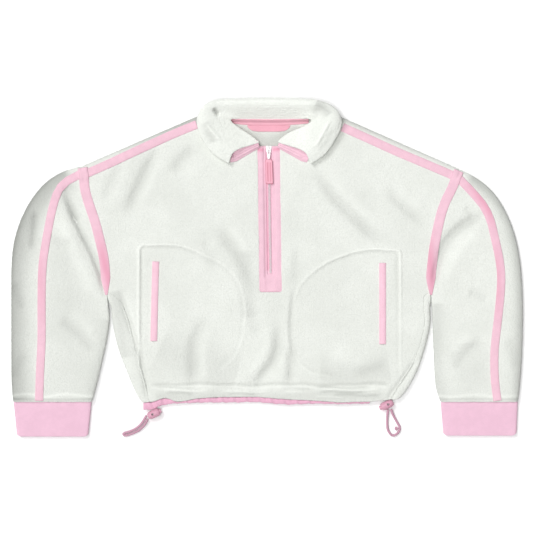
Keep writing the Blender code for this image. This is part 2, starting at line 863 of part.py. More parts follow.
def tube(name, edge_out, edge_in, first, last, wall, height, puff, look, across=9, along=15):
    """A flattened tube of cloth between two edges, from a first to a last cross line."""
    line_out = smooth(edge_out, along)
    line_in = smooth(edge_in, along)
    first = evenly(first, 41)
    last = evenly(last, 41)
    u = np.linspace(0, 1, 41)[:, None]
    outer = []
    inner = []
    radius = height / 2
    for row in range(along):
        v = row / (along - 1)
        straight = (1 - u) * line_out[row] + u * line_in[row]
        ends = (1 - v) * first + v * last
        corners = (1 - u) * ((1 - v) * first[0] + v * last[0])
        corners = corners + u * ((1 - v) * first[-1] + v * last[-1])
        cross = straight + ends - corners
        flat = evenly(cross, across, radius)
        out_a = unit(cross[0] - cross[1])
        out_b = unit(cross[-1] - cross[-2])
        ramp = max(0.0, math.sin(math.pi * v)) ** 0.7
        lift = puff * ramp * np.sin(np.linspace(0, math.pi, across))
        if wall == FLEECE:
            highs = top(flat[:, 0], flat[:, 1]) + lift
        else:
            highs = np.full(across, height) + lift
        ring_outer = []
        ring_inner = []
        for spot, high in zip(flat, highs):
            ring_outer.append((*spot, high))
            ring_inner.append((*spot, high - wall))
        for reach, rise in reversed(FOLD_TURNS):
            high = highs[-1]
            ring_outer.append((*(flat[-1] + out_b * radius * reach), high * rise))
            z = wall + (high - 2 * wall) * rise
            ring_inner.append((*(flat[-1] + out_b * (radius - wall) * reach), z))
        for spot in flat[::-1]:
            ring_outer.append((*spot, 0.0))
            ring_inner.append((*spot, wall))
        for reach, rise in FOLD_TURNS:
            high = highs[0]
            ring_outer.append((*(flat[0] + out_a * radius * reach), high * rise))
            z = wall + (high - 2 * wall) * rise
            ring_inner.append((*(flat[0] + out_a * (radius - wall) * reach), z))
        outer.append(ring_outer)
        inner.append(ring_inner)
    count = len(outer[0])
    faces = []
    for row in range(along - 1):
        for column in range(count):
            after = (column + 1) % count
            a = row * count + column
            b = row * count + after
            faces.append((a, b, b + count, a + count))
    upper = np.array([p for ring in outer for p in ring])
    lower = np.array([p for ring in inner for p in ring])
    thick(name, upper, lower, faces, look)


def sleeve(key, hole, outer_table, inner_table, fleece):
    first = shifted(hole, -GAP if key == "r" else GAP)
    edge_out = np.vstack([first[:1], outer_table])
    edge_in = np.vstack([first[-1:], inner_table])
    last = np.linspace(edge_out[-1], edge_in[-1], 41)
    tube(f"sleeve_{key}", edge_out, edge_in, first, last, FLEECE, TOP, SLEEVE_PUFF, fleece)


def cuff(key, table, pink):
    seam_out, seam_in, end_out, end_in, end_y = table
    edge_out = np.array([(seam_out, CUFF_SEAM_Y), (end_out, end_y)])
    edge_in = np.array([(seam_in, CUFF_SEAM_Y), (end_in, end_y)])
    tube(
        f"cuff_{key}",
        edge_out,
        edge_in,
        np.array([edge_out[0], edge_in[0]]),
        np.array([edge_out[1], edge_in[1]]),
        CUFF_WALL,
        CUFF_TOP,
        CUFF_PUFF,
        pink,
        across=7,
        along=5,
    )


def trees(names):
    """Ray targets of finished pieces, in millimetres."""
    found = []
    for name in names:
        mesh = bpy.data.objects[name].data
        points = [v.co * 1000 for v in mesh.vertices]
        found.append(BVHTree.FromPolygons(points, [tuple(p.vertices) for p in mesh.polygons]))
    return found


def surface(targets, x, y, reach=4.0):
    """Highest point of the pieces near a spot."""
    best = 0.0
    spots = [(0.0, 0.0)]
    for step in range(12):
        turn = math.pi * step / 6
        far = reach * (1.0 + 0.6 * (step % 2))
        spots.append((far * math.cos(turn), far * math.sin(turn)))
    for dx, dy in spots:
        for target in targets:
            hit = target.ray_cast(Vector((x + dx, y + dy, 80)), Vector((0, 0, -1)))
            if hit[0] is not None:
                best = max(best, hit[0].z)
    return best


def tape(name, line, width, targets, pink, narrow=None, steps=24):
    """A tape along a line, lying on the pieces below it."""
    path = smooth(line, steps)
    away = right_of(path)
    widths = np.full(steps, width)
    if narrow is not None:
        widths = np.interp(np.linspace(0, 1, steps), *narrow)
    shares = (-0.5, 0.0, 0.5)
    drops = (0.3, 0.0, 0.3)
    spots = path[:, None] + away[:, None] * (widths[:, None] * np.array(shares))[:, :, None]
    found = np.array([[surface(targets, x, y) for x, y in row] for row in spots])
    # Each cross line clears what lies below its neighbours too.
    around = np.vstack([found[:1], found, found[-1:]])
    found = np.maximum(np.maximum(around[:-2], around[1:-1]), around[2:])
    upper = []
    lower = []
    for row, heights in zip(spots, found + TAPE_LIFT):
        for (x, y), z, drop in zip(row, heights, drops):
            upper.append((x, y, z + TRIM - drop))
            lower.append((x, y, z))
    faces = grid_faces(steps, len(shares))
    thick(name, np.array(upper), np.array(lower), faces, pink)


def grid_faces(rows, columns):
    faces = []
    for row in range(rows - 1):
        for column in range(columns - 1):
            a = row * columns + column
            faces.append((a, a + 1, a + 1 + columns, a + columns))
    return faces


def collar(fleece):
    """A band from the neck seam over its crest to its free edge."""
    table = np.array(COLLAR)
    upper = []
    lower = []
    columns = COLLAR_STEPS + 1
    lines = [smooth(table[:, k : k + 3], COLLAR_STATIONS) for k in (0, 3, 6)]
    for inner, crest, edge in zip(*lines):
        section = smooth([inner, crest, edge], columns)
        ahead = np.gradient(section, axis=0)
        flat = np.hypot(ahead[:, 0], ahead[:, 1])
        out = ahead[:, :2] / np.maximum(flat, 1e-6)[:, None]
        slope = np.arctan2(ahead[:, 2], flat)
        for spot, way, angle in zip(section, out, slope):
            upper.append(tuple(spot))
            side = math.sin(angle) * COLLAR_WALL
            under = (spot[0] + way[0] * side, spot[1] + way[1] * side)
            lower.append((*under, spot[2] - math.cos(angle) * COLLAR_WALL))
    faces = grid_faces(COLLAR_STATIONS, columns)
    thick("collar", np.array(upper), np.array(lower), faces, fleece)


def collar_facing(key, table, targets, pink):
    x1, y1, x2, y2, width_in, width_out = table
    path = np.linspace((x1, y1), (x2, y2), 8)
    widths = np.linspace(width_in, width_out, 8)
    way = unit(np.array([x2 - x1, y2 - y1]))
    down = np.array([way[1], -way[0]])
    if down[1] > 0:
        down = -down
    parts = ((0.0, 0.8), (0.12, 0.0), (0.6, 0.4), (1.0, 2.2))
    under = []
    for spot, width in zip(path, widths):
        under += [surface(targets, *(spot + down * width * part)) for part, _ in parts]
    low = max(under) + GAP
    upper = []
    lower = []
    for spot, width, share in zip(path, widths, np.linspace(0, 1, 8)):
        for part, drop in parts:
            x, y = spot + down * width * part
            z = low + FACING_WALL + 3.2 * (1 - part) * (1 - 0.4 * share)
            upper.append((x, y, z - drop))
            lower.append((x, y, low))
    thick(f"collar_facing_{key}", np.array(upper), np.array(lower), grid_faces(8, 4), pink)


def zip_parts(pink, pull_pink, metal, teeth):
    """Placket panel with its groove, the chain in it, the slider and the pull."""
    half = PLACKET_W / 2
    across = (-half, -half + 1.2, -6.2, -5.4, 5.4, 6.2, half - 1.2, half)
    drops = (1.2, 0.0, 0.0, 1.0, 1.0, 0.0, 0.0, 1.2)
    rows = np.concatenate([[PLACKET_TOP_Y + 2.6], np.linspace(196, ZIP_END_Y, 5)])
    rows = np.concatenate([rows, [ZIP_END_Y - 2.5, PLACKET_END_Y]])
    upper = []
    lower = []
    for y in rows:
        for dx, drop in zip(across, drops):
            groove = abs(dx) < 5.5 and y > ZIP_END_Y - 1
            z = GROOVE_Z if groove else PLACKET_Z - (drop if abs(dx) > 6 else 0.0)
            upper.append((placket_x(y) + dx, y, z))
            lower.append((placket_x(y) + dx, y, FLEECE + 0.7))
    thick("zip_facing", np.array(upper), np.array(lower), grid_faces(len(rows), 8), pink)

    upper = []
    lower = []
    rows = np.linspace(SLIDER_FROM_Y - GAP, ZIP_END_Y + 0.5, 6)
    for y in rows:
        for dx, drop in ((-0.5, 0.8), (-0.25, 0.0), (0.25, 0.0), (0.5, 0.8)):
            x = placket_x(y) + dx * CHAIN_W
            upper.append((x, y, CHAIN_Z - drop))
            lower.append((x, y, GROOVE_Z + GAP))
    thick("zip_chain", np.array(upper), np.array(lower), grid_faces(len(rows), 4), teeth)

    slider(metal)
    puller(metal, pull_pink)


def slider(metal):
    """Body, wedge-shaped in plan, with the bridge that the pull hangs on as one solid."""
    centre = placket_x(HINGE_Y)
    #     y, half width, bottom z, top z
    stations = (
        (SLIDER_FROM_Y, 3.4, GROOVE_Z + GAP, SLIDER_BOTTOM),
        (SLIDER_FROM_Y + 1.2, 4.0, GROOVE_Z + GAP, SLIDER_TOP),
        (SLIDER_TO_Y - 3.5, SLIDER_W / 2, GROOVE_Z + GAP, SLIDER_TOP),
        (SLIDER_TO_Y - 0.8, SLIDER_W / 2, GROOVE_Z + GAP, SLIDER_TOP),
        (SLIDER_TO_Y, SLIDER_W / 2 - 0.8, GROOVE_Z + 1.0, SLIDER_BOTTOM),
    )
    base = loft(stations, centre, "zip_slider", metal)
    bridge = arch(centre, metal)
    union = base.modifiers.new("bridge", "BOOLEAN")
    union.operation = "UNION"
    union.solver = "EXACT"
    union.object = bridge
    bridge.hide_render = True


def arch(centre, metal):
    """The bridge: a bent bar from end to end of the slider, standing in its body."""
    #     y and z of the middle of the bar
    line = (
        (SLIDER_FROM_Y + 2.2, 10.2),
        (SLIDER_FROM_Y + 2.6, 13.2),
        (SLIDER_FROM_Y + 4.4, 15.2),
        (HINGE_Y, 15.6),
        (SLIDER_TO_Y - 1.9, 14.8),
        (SLIDER_TO_Y - 1.3, 13.0),
        (SLIDER_TO_Y - 1.2, 10.2),
    )
    path = smooth(line, 15)
    away = right_of(path)
    upper = []
    lower = []
    for (y, z), (dy, dz) in zip(path, away):
        for dx in (-BRIDGE_W / 2, BRIDGE_W / 2):
            upper.append((centre + dx, y + dy * 0.6, z + dz * 0.6))
            lower.append((centre + dx, y - dy * 0.6, z - dz * 0.6))
    return thick("bridge_tool", np.array(upper), np.array(lower), grid_faces(15, 2), metal)


def loft(stations, centre, name, look):
    """A bar with flat ends and chamfered corners through sections across X."""
    points = []
    for y, half, low, high in stations:
        cut = min(0.6, half * 0.3, (high - low) * 0.3)
        for dx, z in (
            (-half + cut, low),
            (half - cut, low),
            (half, low + cut),
            (half, high - cut),
            (half - cut, high),
            (-half + cut, high),
            (-half, high - cut),
            (-half, low + cut),
        ):
            points.append((centre + dx, y, z))
    faces = [tuple(range(8)), tuple(reversed(range(len(points) - 8, len(points))))]
    for row in range(len(stations) - 1):
        for column in range(8):
            after = (column + 1) % 8
            a = row * 8
            faces.append((a + column, a + column + 8, a + after + 8, a + after))
    return place(name, points, faces, look)


def puller(metal, pull_pink):
    """Metal ring on the bridge, and the soft tab at its end."""
    centre = placket_x(HINGE_Y)
    count = 28
    slot_from = HINGE_Y - 0.7
    slot_to = HINGE_Y - 9.6
    upper = []
    middle = (slot_from + slot_to) / 2
    slot_half = (slot_from - slot_to) / 2
    for step in range(count):
        turn = 2 * math.pi * step / count
        sideways = math.cos(turn)
        along = math.sin(turn)
        squared = 1 / max(abs(sideways), abs(along))
        sx = sideways * squared**0.6
        sy = along * squared**0.6
        if sy > 0:
            outer_y = middle + sy * (slot_half + 0.9)
            width = 3.3
        else:
            outer_y = middle + sy * (middle - LINK_END_Y)
            width = 3.3 + 1.0 * sy
        upper.append((centre + sx * 1.9, middle + sy * slot_half, 0.0))
        upper.append((centre + sx * width, outer_y, 0.0))
    upper = np.array(upper)
    lower = upper.copy()
    upper[:, 2] = HINGE_Z + 0.6
    lower[:, 2] = HINGE_Z - 0.6
    faces = []
    for step in range(count):
        a = 2 * step
        b = 2 * ((step + 1) % count)
        faces.append((a, a + 1, b + 1, b))
    thick("zip_link", upper, lower, faces, metal)
    stations = []
    for share, half, low, high in PULLER:
        y = PULLER_TOP_Y + (PULLER_END_Y - PULLER_TOP_Y) * share
        stations.append((y, half, low, high))
    body_of_tab = loft(stations, centre, "zip_puller", pull_pink)
    for vertex in body_of_tab.data.vertices:
        vertex.co.x += (PULLER_TOP_Y * 0.001 - vertex.co.y) * 0.03


def back_neck(pink):
    """Tape along the inside of the back neck and the half-moon patch under it."""
    table = smooth([(x, low, high) for x, low, high in NECK_TAPE], 15)
    upper = []
    lower = []
    for x, low, high in table:
        for y, drop in ((low, 0.5), (low + 1.0, 0.0), (high - 1.0, 0.0), (high, 0.5)):
            upper.append((x, y, FLEECE + GAP + TRIM - drop))
            lower.append((x, y, FLEECE + GAP))
    thick("neck_tape", np.array(upper), np.array(lower), grid_faces(15, 4), pink)
    x1, x2, straight, bottom = NECK_PATCH
    turns = np.linspace(math.pi, 2 * math.pi, 15)
    middle = (x1 + x2) / 2
    half = (x2 - x1) / 2
    depth = straight - 0.9 - bottom
    outline = []
    for t in turns:
        share = min(1.0, -PATCH_FULLNESS * math.sin(t))
        outline.append((middle + half * math.cos(t), straight - 0.9 - depth * share))
    points, faces = fill(outline, 12.0)
    high = np.full(len(points), FLEECE + GAP + TRIM)
    sheet("neck_patch", points, faces, high, high - TRIM, pink)


def casing(pink):
    """Pink casing that shows below the front's hem."""
    table = smooth(HEM, HEM_STATIONS)
    upper = []
    lower = []
    for x, high, low in table:
        depth = high - GAP - low
        for share, drop in ((0.0, 0.0), (0.45, -0.2), (0.85, 0.9), (1.0, 2.2)):
            y = high - GAP - depth * share
            upper.append((x, y, CASING_TOP - drop))
            lower.append((x, y, CASING_BOTTOM))
    thick("hem_casing", np.array(upper), np.array(lower), grid_faces(HEM_STATIONS, 4), pink)


def lathe(name, centre, along, rings, look, sides=16):
    """A solid turned about a level line through its centre."""
    side = np.array([-along[1], along[0], 0.0])
    up = np.array([0.0, 0.0, 1.0])
    points = []
    for reach, radius in rings:
        for step in range(sides):
            angle = 2 * math.pi * step / sides
            offset = side * math.cos(angle) + up * math.sin(angle)
            points.append(centre + along * reach + offset * radius)
    faces = []
    for ring in range(len(rings) - 1):
        for step in range(sides):
            after = (step + 1) % sides
            a = ring * sides
            faces.append((a + step, a + after, a + after + sides, a + step + sides))
    last = (len(rings) - 1) * sides
    faces.append(tuple(reversed(range(sides))))
    faces.append(tuple(range(last, last + sides)))
    return place(name, points, faces, look)


def lock(key, table, pink):
    """Barrel with a bore for its sprung button, and a hole down through it for the cord."""
    x, y, z, degrees = table
    turn = math.radians(degrees)
    centre = np.array([x, y, z])
    along = np.array([math.cos(turn), math.sin(turn), 0.0])
    rings = [(LOCK_HALF - BORE_DEPTH, BORE_R), (LOCK_HALF * 0.93, BORE_R), (LOCK_HALF * 0.93, 5.4)]
    rings += [(-LOCK_HALF * share, radius) for share, radius in LOCK_PROFILE]
    barrel = lathe(f"cord_lock_{key}", centre, along, rings, pink)
    inner = LOCK_HALF * 0.93 + BUTTON_OUT - BUTTON_LENGTH
    end = LOCK_HALF * 0.93 + BUTTON_OUT
    rings = ((inner, BUTTON_R), (end - 0.8, BUTTON_R), (end, BUTTON_R - 0.9))
    lathe(f"lock_button_{key}", centre, along, rings, pink)
    # The cord's hole, off the middle, away from the button.
    spot = np.array([x, y]) - along[:2] * HOLE_BACK
    turns = np.linspace(0, 2 * math.pi, 12, endpoint=False)
    outline = np.column_stack([spot[0] + HOLE_R * np.cos(turns), spot[1] + HOLE_R * np.sin(turns)])
    points, faces = fill(outline, 30.0)
    high = np.full(len(points), 20.0)
    cutter = sheet(f"hole_tool_{key}", points, faces, high, high - 24.0, pink)
    cutter.hide_render = True
    cut = barrel.modifiers.new("hole", "BOOLEAN")
    cut.operation = "DIFFERENCE"
    cut.solver = "EXACT"
    cut.object = cutter


def cord(name, table, look):
    path = smooth(table, CORD_POINTS)
    data = bpy.data.curves.new(name, "CURVE")
    data.dimensions = "3D"
    data.bevel_depth = CORD_D / 2 * 0.001
    data.bevel_resolution = 2
    data.use_fill_caps = True
    spline = data.splines.new("POLY")
    spline.points.add(len(path) - 1)
    for point, (x, y, z) in zip(spline.points, path):
        point.co = (x * 0.001, y * 0.001, z * 0.001, 1.0)
    data.materials.append(look)
    made = bpy.data.objects.new(name, data)
    bpy.context.scene.collection.objects.link(made)


def knot(look):
    x, y, z = KNOT_L
    where = (x * 0.001, y * 0.001, z * 0.001)
    bpy.ops.mesh.primitive_ico_sphere_add(subdivisions=2, radius=KNOT_R_MM * 0.001, location=where)
    made = bpy.context.object
    made.name = "cord_knot_l"
    made.data.materials.append(look)


def main():
    clear()
    fleece = material("sherpa", CREAM)
    pink = material("pink_trim", PINK)
    pull_pink = material("pink_pull", PINK_PULL)
    metal = material("metal", METAL, 0.8)
    teeth = material("teeth", (0.82, 0.74, 0.76))
    cord_pink = material("cord_pink", CORD_PINK)
    holes = body(fleece)
    sleeve("r", holes["r"], SLEEVE_OUTER_R, SLEEVE_INNER_R, fleece)
    sleeve("l", holes["l"], SLEEVE_OUTER_L, SLEEVE_INNER_L, fleece)
    cuff("r", CUFF_R, pink)
    cuff("l", CUFF_L, pink)
    ground = trees(("front_body", "back_body", "sleeve_r", "sleeve_l"))
    armhole_widths = ((0.0, 0.88, 1.0), (ARMHOLE_TAPE_W, ARMHOLE_TAPE_W, 5.0))
    tape("shoulder_tape_r", SHOULDER_TAPE_R, SHOULDER_TAPE_W, ground, pink)
    tape("shoulder_tape_l", SHOULDER_TAPE_L, SHOULDER_TAPE_W, ground, pink)
    tape("armhole_tape_r", ARMHOLE_TAPE_R, 0, ground, pink, armhole_widths)
    tape("armhole_tape_l", ARMHOLE_TAPE_L, 0, ground, pink, armhole_widths)
    tape("sleeve_tape_r", SLEEVE_TAPE_R, SLEEVE_TAPE_W, ground, pink, steps=32)
    tape("sleeve_tape_l", SLEEVE_TAPE_L, SLEEVE_TAPE_W, ground, pink, steps=32)
    tape("welt_r", WELT_R_LINE, WELT_W, ground, pink, steps=14)
    tape("welt_l", WELT_L_LINE, WELT_W, ground, pink, steps=14)
    collar(fleece)
    zip_parts(pink, pull_pink, metal, teeth)
    ground += trees(("zip_facing",))
    collar_facing("r", COLLAR_FACING_R, ground, pink)
    collar_facing("l", COLLAR_FACING_L, ground, pink)
    back_neck(pink)
    casing(pink)
    lock("r", LOCK_R, pull_pink)
    lock("l", LOCK_L, pull_pink)
    cord("drawcord_r", CORD_R_OUT, cord_pink)
    cord("drawcord_l", CORD_L_OUT, cord_pink)
    knot(cord_pink)
    for thing in bpy.data.objects:
        thing.location.x -= MIDDLE[0] * 0.001
        thing.location.y -= MIDDLE[1] * 0.001


main()
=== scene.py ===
"""Looks of a sherpa fleece half-zip pullover that lies flat on its back, collar towards +Y.

Tables and helper functions work in millimetres, and properties hold metres, as Blender does.
_r is the wearer's right, at -X, and _l the wearer's left.
"""

import math

import bmesh
import bpy
import numpy as np
from bpy.props import FloatProperty, FloatVectorProperty, IntProperty, PointerProperty
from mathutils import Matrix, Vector
from mathutils.bvhtree import BVHTree


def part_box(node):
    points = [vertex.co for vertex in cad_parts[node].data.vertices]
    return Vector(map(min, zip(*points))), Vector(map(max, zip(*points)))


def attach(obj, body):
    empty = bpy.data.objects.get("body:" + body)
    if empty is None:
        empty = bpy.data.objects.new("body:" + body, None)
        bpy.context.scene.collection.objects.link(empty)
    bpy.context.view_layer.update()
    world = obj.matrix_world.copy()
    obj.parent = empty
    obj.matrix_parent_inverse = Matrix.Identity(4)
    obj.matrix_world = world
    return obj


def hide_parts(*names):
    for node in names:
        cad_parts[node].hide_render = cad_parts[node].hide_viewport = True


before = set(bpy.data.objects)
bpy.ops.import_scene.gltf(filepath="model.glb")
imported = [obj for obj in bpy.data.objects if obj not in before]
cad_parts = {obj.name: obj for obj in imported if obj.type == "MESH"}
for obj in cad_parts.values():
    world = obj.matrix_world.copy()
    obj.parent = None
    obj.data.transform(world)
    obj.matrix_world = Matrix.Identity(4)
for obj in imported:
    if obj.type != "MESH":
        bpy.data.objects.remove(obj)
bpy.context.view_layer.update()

bl_info = {
    "name": "Sherpa half-zip pullover",
    "version": (1, 0, 0),
    "blender": (4, 5, 0),
    "location": "View3D > Sidebar > Pullover",
    "description": "Builds a sherpa fleece half-zip pullover that lies flat",
    "category": "Object",
}

MM = 0.001
BODY = "garment"

# ---------------------------------------------------------------- tables

# Soft folds of the front: the way of each, its half width and its rise, below 0 for a trough
FRONT_FOLDS = (
    (((-184, 214), (-204, 177), (-221, 142), (-248, 84)), 9.5, -4.0),
    (((-176, 196), (-192, 166), (-208, 132), (-228, 96)), 10.0, 1.3),
    (((-250, 186), (-268, 150), (-286, 108)), 10.0, -2.4),
    (((-162, 156), (-152, 182), (-122, 210)), 11.0, -3.0),
    (((-148, 150), (-118, 172), (-96, 180)), 14.0, 0.7),
    (((80, 178), (92, 156), (117, 121), (156, 82), (186, 55), (228, 44)), 9.5, -3.8),
    (((100, 166), (136, 126), (172, 92), (206, 70)), 11.0, 1.2),
    (((204, 142), (233, 108), (258, 86), (284, 64)), 8.5, -2.4),
    (((222, 152), (250, 120), (276, 100)), 9.0, 1.0),
    (((-94, -82), (-116, -108), (-128, -140), (-127, -222)), 10.0, -3.2),
    (((-106, -122), (-110, -150), (-108, -205)), 9.0, 1.4),
    (((-94, 76), (-68, 46), (-42, 8), (-20, -48)), 11.0, -3.0),
    (((-112, 52), (-98, 20), (-84, -8)), 10.0, -1.4),
    (((-66, 74), (-46, 48), (-30, 16)), 9.0, 1.5),
    (((-30, -50), (-22, -98), (-12, -130)), 10.0, -1.3),
    (((52, 40), (52, 0), (46, -40)), 9.0, -1.8),
    (((17, -86), (20, -126), (12, -164), (-8, -190), (-20, -228)), 9.0, -3.4),
    (((2, -100), (2, -140), (-14, -172), (-36, -200)), 10.0, 1.6),
    (((42, -134), (43, -170), (40, -212)), 7.5, -2.8),
    (((50, -26), (44, -70), (42, -114), (48, -154), (62, -186)), 4.5, -3.4),
    (((28, -140), (28, -175), (20, -208)), 8.0, 1.2),
    (((104, -152), (146, -160), (184, -178)), 14.0, 1.0),
    (((150, -186), (186, -178), (214, -160)), 9.0, -1.6),
    (((-60, 190), (-92, 160), (-104, 120)), 18.0, 0.8),
    (((60, 200), (96, 178), (122, 160)), 16.0, 0.8),
)
# Where the front meets the wrapped back, both dip
SIDE_FOLDS = (
    (((-257, -36), (-249, -66), (-238, -101), (-228, -130), (-220, -156), (-211, -200),
      (-207, -236)), 5.0, -3.4),
    (((262, -158), (250, -176), (236, -196), (222, -214), (206, -236)), 5.0, -2.6),
    (((-248, -40), (-238, -70), (-226, -104), (-214, -140)), 9.0, 1.2),
)
# Folds of both sleeves
SLEEVE_FOLDS = (
    (((388, 92), (357, 82), (332, 66), (309, 40), (295, 4), (287, -46)), 7.5, -5.4),
    (((374, 66), (344, 42), (324, 10), (308, -30)), 12.0, 1.8),
    (((344, 104), (350, 98), (360, 88)), 6.0, -1.6),
    (((349, -45), (368, -49), (386, -57)), 9.0, -1.8),
    (((325, -183), (349, -146), (379, -125)), 9.0, -2.0),
    (((322, -150), (340, -132), (360, -116)), 10.0, 1.0),
    (((-352, 134), (-331, 78), (-309, 34), (-291, -9), (-277, -62)), 5.2, -5.4),
    (((-354, 146), (-342, 108), (-326, 72)), 9.0, -3.2),
    (((-362, 104), (-346, 62), (-328, 20), (-310, -20), (-294, -60)), 12.0, 1.8),
    (((-401, 100), (-404, 64), (-408, 26)), 6.5, -3.4),
    (((-378, 60), (-360, 42), (-334, 40)), 8.0, -1.3),
    (((-362, -88), (-330, -112), (-296, -150)), 9.0, -2.4),
    (((-344, -78), (-322, -92), (-298, -120)), 10.0, 1.0),
    (((-440, -24), (-430, -54), (-420, -76)), 9.0, -1.8),
    (((-414, -150), (-428, -168), (-436, -196)), 9.0, -1.3),
    (((420, -120), (430, -150), (434, -182)), 9.0, -1.3),
)
# Zones of painted shade, below 0, and painted highlight, above 0, on the pile: way, half width,
# strength
BODY_ZONES = (
    (((-330, 182), (-205, 229), (-76, 277)), 8.0, -1.5),
    (((342, 176), (215, 228), (82, 283)), 8.0, -1.3),
    (((-190, -140), (-130, -165), (-50, -190)), 34.0, -0.3),
    (((90, -185), (150, -185), (215, -175)), 24.0, -0.3),
    (((-200, -226), (-60, -226), (60, -226), (210, -226)), 9.0, -0.4),
    (((-36, 30), (-34, -30), (-30, -90)), 16.0, -0.25),
    (((-264, -40), (-257, -100), (-246, -160)), 13.0, -0.4),
)
# Painted shade on the inside of the back, below the collar
NECK_ZONES = (
    (((-60, 240), (-24, 224), (2, 216), (28, 224), (64, 240)), 16.0, -0.8),
)
# Painted shade on the sleeves' outer edges and lower parts, and a painted highlight beside a
# painted shade along each cuff's seam: way, half width, strength
SLEEVE_ZONES = (
    (((-438, -246), (-444, -120), (-443, -10), (-434, 50), (-412, 104), (-380, 146), (-340, 170)),
     27.0, -1.25),
    (((-445, -244), (-447, -120), (-446, -10), (-437, 56), (-415, 110), (-384, 150), (-340, 180)),
     6.0, -0.8),
    (((-350, -246), (-345, -120), (-352, 0), (-356, 60)), 40.0, -0.2),
    (((-446, -224), (-415, -221), (-385, -226), (-350, -221), (-310, -225), (-276, -221)),
     2.6, 0.5),
    (((-446, -230), (-360, -231), (-276, -229)), 2.2, -0.6),
    (((282, -222), (320, -226), (360, -222), (400, -226), (446, -223)), 2.6, 0.35),
    (((282, -231), (360, -230), (446, -231)), 2.2, -0.5),
    (((440, -246), (445, -100), (443, -10), (431, 60), (409, 108), (380, 140), (345, 162)),
     14.0, -1.1),
    (((-272, -90), (-290, -170), (-306, -246)), 17.0, -0.4),
    (((292, -60), (291, -170), (302, -246)), 14.0, -0.55),
    (((350, -246), (352, -180), (350, -130)), 30.0, -0.25),
)
# Painted shade on stretches of the tapes that lie in a fold
TAPE_ZONES = (
    (((-296, 80), (-288, 34), (-281, 0), (-274, -30), (-270, -90)), 8.0, -0.95),
    (((288, 84), (283, 40), (284, -4), (287, -40), (292, -100)), 8.0, -0.95),
    (((336, 158), (362, 130), (384, 100), (398, 50)), 8.0, -0.8),
    (((394, 70), (399, 10), (400, -50), (400, -120)), 8.0, -0.6),
    (((-397, 70), (-395, 0), (-392, -60), (-391, -130)), 8.0, -0.4),
)
# Painted shade on the zip facing along the zip, and at its top beside the slider
FACING_ZONES = (
    (((2.2, 214), (2.2, 100), (2.2, 0), (2.2, -9)), 4.6, -0.7),
    (((-19, 203.5), (-6, 203)), 3.2, -1.1),
    (((10, 203.5), (23, 205)), 3.2, -1.1),
)
# Creases of the collar's upper face
COLLAR_FOLDS = (
    (((-106, 248), (-93, 233), (-78, 216)), 2.6, 2.4),
    (((-109, 238), (-99, 226), (-88, 213)), 4.5, -0.9),
    (((112, 258), (101, 239), (89, 217), (80, 204)), 2.6, 2.6),
    (((119, 246), (109, 226), (97, 206), (88, 196)), 5.0, -0.9),
    (((-94, 277), (-88, 269), (-82, 261)), 3.4, -6.0),
    (((88, 262), (80, 258), (70, 257)), 4.0, -2.2),
    (((76, 262), (88, 272), (98, 284)), 9.0, -1.8),
)
# Painted highlight on the collar's back band, above 0, and painted shade, below 0: way, half width,
# strength
COLLAR_ZONES = (
    (((-90, 272), (-40, 273), (40, 273), (86, 272)), 15.0, 0.8),
    (((84, 286), (96, 278), (108, 262)), 9.0, -0.7),
    (((-108, 252), (-102, 238), (-92, 214)), 10.0, -0.45),
)

# Lights far away: way to the light, and the angle in degrees that it fills
LIGHTS = {
    "key": ((-1.0, 1.0, 1.6), 24),
    "overhead": ((-0.16, -0.02, 1.0), 28),
    "fill": ((0.0, -1.0, 1.3), 70),
}

# How far the collar's upper edge is drawn in, and over which stretch of y this sets in
COLLAR_SHIFT = 2.6
COLLAR_SHIFT_FROM_Y = 262.0
COLLAR_SHIFT_OVER = 26.0

# The collar's two points: where each lies on the solid, and how it is moved from there
COLLAR_POINTS = (
    ((-73.7, 178.5), (6.5, 2.5)),
    ((82.0, 177.0), (-4.5, 2.5)),
)
COLLAR_POINT_REACH = 24.0

# The collar's pink facings: how far they run on under its ends and past their outer ends, the
# slope of that last stretch, and the height of their four ribs
UNDER_COLLAR = 5.0
FACING_LONGER = 10.0
FACING_SLOPE = -0.22
FACING_RIB = 0.5
FACING_RIBS = 4

# The zip facing: how far its cloth goes on at each side, how much its sides stand up, where its
# outer and inner stitches run, how wide the groove for the zip is, and the groove's floor
FACING_MORE = 1.0
FACING_RAISED = 2.0
OUTER_STITCH = 2.2
INNER_STITCH = 8.6
GROOVE_HALF = 5.6
GROOVE_FLOOR = 8.3

# The zip's teeth: height of their middle, thickness, shares of the pitch that a tooth's head
# and root take up, and share of its length that its middle lies beside the zip's middle
TEETH_Z = 9.35
TEETH_THICK = 1.9
TOOTH_HEAD = 0.62
TOOTH_ROOT = 0.46
TOOTH_BESIDE = 0.36

# The puller: shares of its length with its half width and half thickness there, its lean, and
# how far its two grooves lie from its middle
PULLER_HALF = ((0, 0.02, 0.06, 0.12, 0.9, 0.97, 1), (4.2, 5.2, 5.9, 6.2, 6.5, 6.4, 5.6))
PULLER_THICK = ((0, 0.03, 0.1, 0.95, 1), (0.7, 1.3, 1.8, 1.8, 1.0))
PULLER_LEAN = 0.03
PULLER_GROOVE = 2.6

# The cuffs: radius of their lower corners, and the height of their gathers at the seam
CUFF_CORNER = 9.0
CUFF_GATHER = 0.28

# The floor lies this far below the part, and is this wide to each side
FLOOR_DROP = 0.2
FLOOR_HALF = 3000

# The spot that the camera looks at, in metres
VIEW_CENTRE = (-0.00102, 0.00044)

# Rays that look for the ground start at this height
RAYS_FROM = 90.0

# Spacing of the nets of points on the smaller cloth pieces, in metres
CUFF_NET = 0.0014
PATCH_NET = 0.0006
CASING_NET = 0.0009

# How many times finer in height the nets of the panels and cuffs are
PANEL_FINER = 2.6
CUFF_FINER = 2.2

